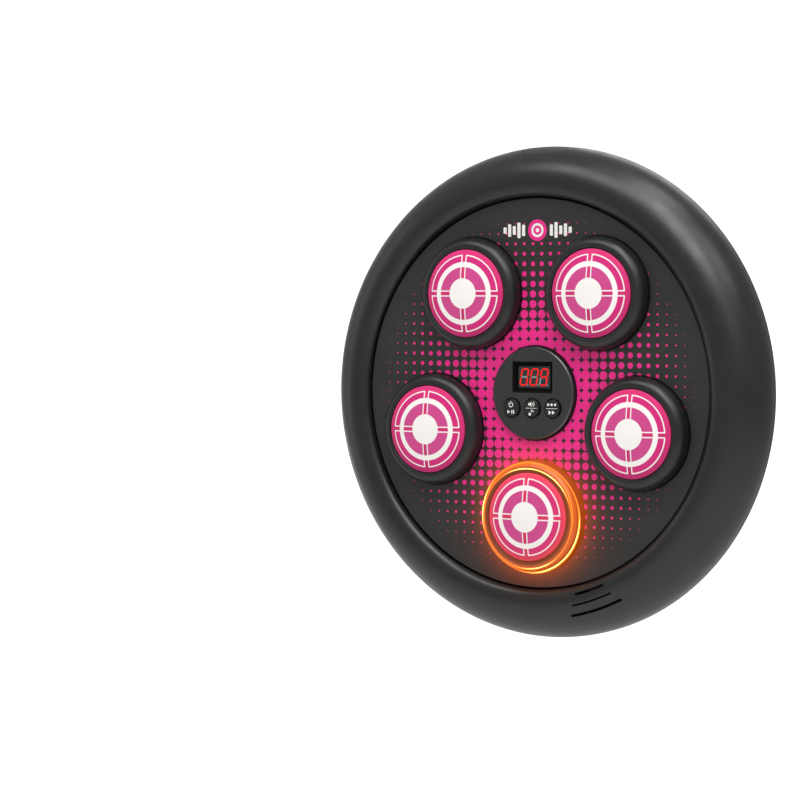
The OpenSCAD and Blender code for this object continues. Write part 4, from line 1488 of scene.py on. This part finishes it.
@dataclass
class Display:
    """A three-digit red display that reads 009."""

    work: Workshop
    panel: ControlPanel
    digit: tuple[float, float] = (7.3, 14.2)
    pitch: float = 9.05
    bar: float = 1.35
    gap: float = 0.22
    slant: float = 0.167
    proud: float = 0.09
    unlit: tuple[tuple[int, Segment], ...] = (
        (0, Segment.MIDDLE), (1, Segment.MIDDLE), (2, Segment.LOW_LEFT),
    )

    def bar_outline(self, segment: Segment, centre_x: float) -> np.ndarray:
        """A bar with pointed ends, leaning by the digit's slant."""
        wide, tall = (self.digit[0] - self.bar) / 2, (self.digit[1] - self.bar) / 2
        ends = [np.array([x * wide, (y - 1) * tall]) for x, y in segment.value]
        along = (ends[1] - ends[0]) / np.linalg.norm(ends[1] - ends[0])
        aside = np.array([-along[1], along[0]]) * self.bar / 2
        first, last = ends[0] + along * self.gap, ends[1] - along * self.gap
        near, far = first + along * self.bar / 2, last - along * self.bar / 2
        outline = np.array([first, near - aside, far - aside, last, far + aside, near + aside])
        return self.place(outline, centre_x)

    def place(self, outline: np.ndarray, centre_x: float) -> np.ndarray:
        """Leans an outline and moves it to its digit's place in the window."""
        leaning = outline[:, 0] + outline[:, 1] * self.slant
        return np.stack([leaning + centre_x, outline[:, 1] + self.panel.window_up], axis=1)

    def build(self) -> None:
        """Makes the display's face, bars and points."""
        panel = self.panel
        inset = panel.window_slope + panel.display_gap
        wide, tall = (side - 2 * inset for side in panel.window)
        centre = np.array([0.0, panel.window_up])
        floor_h = panel.display_h - 0.3
        outline = rounded_outline(wide - 1.3, tall - 1.3, 0.3) + centre
        plate = make_object("display_face", prism(outline, floor_h - 0.2, floor_h + 0.05))
        self.work.hand_over(plate, DISPLAY_FACE, "housing", "display")
        lit: list[Shape] = []
        dark: list[Shape] = []
        point = circle((self.digit[0] / 2 + 0.55, -self.digit[1] / 2 + 0.75), 0.72, 20)
        for k in range(3):
            x = (k - 1) * self.pitch - 0.2
            for segment in Segment:
                bar = prism(self.bar_outline(segment, x), floor_h, floor_h + self.proud)
                (dark if (k, segment) in self.unlit else lit).append(bar)
            dark.append(prism(self.place(point, x), floor_h, floor_h + self.proud))
        for name, bars, finish in (
            ("display_bars_lit", lit, SEGMENT_ON), ("display_bars_unlit", dark, SEGMENT_OFF),
        ):
            self.work.hand_over(make_object(name, joined(bars)), finish, "housing", "display")


# ---------------------------------------------------------------------------------------------
# Studio
# ---------------------------------------------------------------------------------------------


@dataclass
class Studio:
    """The camera, a plain pale sweep and soft lights."""

    azimuth: float = 0.5715
    elevation: float = 0.0331
    roll: float = -0.0009
    aim: tuple[float, float, float] = (-0.10803, -0.00552, 2.51605)
    lens: float = 141.7
    floor_z: float = -0.75
    wall_y: float = 5.0
    lit_at: tuple[float, float, float] = (-2.9, 4.2, 0.3)
    lit_within: tuple[float, float] = (2.5, 4.2)
    floor_glow: float = 0.02
    backdrop_glow: float = 0.62
    surround: float = 0.42

    def axes(self) -> tuple[Vector, Vector, Vector]:
        """The camera's right, up and back directions."""
        sp, cp = math.sin(self.elevation), math.cos(self.elevation)
        sy, cy = math.sin(self.azimuth), math.cos(self.azimuth)
        back, right = Vector((sy * cp, -cy * cp, sp)), Vector((cy, sy, 0.0))
        up = back.cross(right)
        cr, sr = math.cos(self.roll), math.sin(self.roll)
        return cr * right + sr * up, cr * up - sr * right, back

    def camera(self) -> None:
        """A long lens in front of the face plate, to the right and a little above."""
        right, up, back = self.axes()
        face = Vector((0.0, -FACE_FROM_WALL * MM, 0.0))
        place = face + self.aim[0] * right + self.aim[1] * up + self.aim[2] * back
        data = bpy.data.cameras.new("camera")
        data.lens, data.sensor_width = self.lens, 36.0
        data.clip_start, data.clip_end = 0.05, 60.0
        camera = bpy.data.objects.new("camera", data)
        turned = Matrix((right, up, back)).transposed().to_4x4()
        camera.matrix_world = Matrix.Translation(place) @ turned
        bpy.context.scene.collection.objects.link(camera)
        bpy.context.scene.camera = camera

    def sweep(self) -> None:
        """A pale floor that curves up into a backdrop, as one sheet that is lit from its far end."""
        radius, half = 1.5, 9.0
        bend = arc((self.wall_y - radius, self.floor_z + radius), radius, -90, 0, 24)
        line = np.vstack([[[-9.0, self.floor_z]], bend, [[self.wall_y, 6.0]]])
        left = np.column_stack([np.full(len(line), -half), line])
        right = np.column_stack([np.full(len(line), half), line])
        row = np.arange(len(line) - 1)
        faces = np.stack([row, row + len(line), row + len(line) + 1, row + 1], axis=1)
        mesh = bpy.data.meshes.new("sweep")
        mesh.from_pydata(np.vstack([left, right]).tolist(), [], faces.tolist())
        mesh.shade_smooth()
        floor = bpy.data.objects.new("sweep", mesh)
        bpy.context.scene.collection.objects.link(floor)
        paper = bpy.data.materials.new("white_paper_sweep")
        paper.use_nodes = True
        shader = paper.node_tree.nodes["Principled BSDF"]
        tree = paper.node_tree
        place = add(tree, COORD, out="Object")
        away = add(tree, VECTOR, {"operation": "DISTANCE"}, {0: place, 1: self.lit_at}, out="Value")
        backlit = add(
            tree, RANGE, {"interpolation_type": "SMOOTHSTEP"},
            {
                "Value": away, "From Min": self.lit_within[1], "From Max": self.lit_within[0],
                "To Min": self.floor_glow, "To Max": self.backdrop_glow,
            },
        )
        feed(
            tree, shader,
            {
                "Base Color": linear("#F4F4F3"), "Roughness": 0.9, "Specular IOR Level": 0.1,
                "Emission Color": linear("#FFFFFF"), "Emission Strength": backlit,
            },
        )
        mesh.materials.append(paper)

    def light(self, name: str, place: tuple[float, float, float], size: Point, power: float) -> None:
        """A soft rectangular light that faces the machine.

        Args:
            name: the light's name.
            place: where it stands, in metres.
            size: its width and height in metres.
            power: its power in watts.
        """
        data = bpy.data.lights.new(name, "AREA")
        data.shape, data.size, data.size_y, data.energy = "RECTANGLE", size[0], size[1], power
        lamp = bpy.data.objects.new(name, data)
        facing = Vector(place).to_track_quat("Z", "Y").to_matrix().to_4x4()
        lamp.matrix_world = Matrix.Translation(place) @ facing
        bpy.context.scene.collection.objects.link(lamp)

    def build(self) -> None:
        """Sets up the camera, the sweep, the lights and a dim even surround."""
        bpy.context.scene.view_settings.view_transform = "Standard"
        self.camera()
        self.sweep()
        for name, place, size, power in (
            ("key", (1.0, -1.45, 1.75), (1.2, 0.7), 17.0),
            ("crown", (0.6, -1.0, 2.15), (0.9, 0.6), 11.0),
            ("top", (-0.5, -1.15, 2.1), (1.3, 0.7), 13.0),
            ("back", (-0.2, 1.9, 1.6), (1.6, 0.8), 5.0),
            ("overhead", (0.5, -0.15, 2.4), (1.4, 0.6), 13.0),
            ("right", (1.8, -1.35, 1.1), (0.9, 0.9), 2.0),
            ("edge", (1.5, -0.3, 1.7), (0.9, 0.9), 7.0),
            ("left", (-2.4, -0.7, 0.3), (1.0, 1.8), 3.0),
        ):
            self.light(name, place, size, power)
        world = bpy.data.worlds.new("surround")
        world.use_nodes = True
        shade = world.node_tree.nodes["Background"]
        feed(world.node_tree, shade, {"Color": linear("#FFFFFF"), "Strength": self.surround})
        bpy.context.scene.world = world


def main() -> None:
    """Builds the studio, then each sub-assembly in order."""
    logging.basicConfig(level=logging.INFO, format="%(message)s")
    Studio().build()
    work = Workshop()
    work.dress_nodes()
    for assembly in (
        Housing(work), FacePlate(work), StrikePads(work), Springs(work), ControlPanel(work),
        AdhesiveStrips(work),
    ):
        assembly.build()


if __name__ == "__main__":
    main()
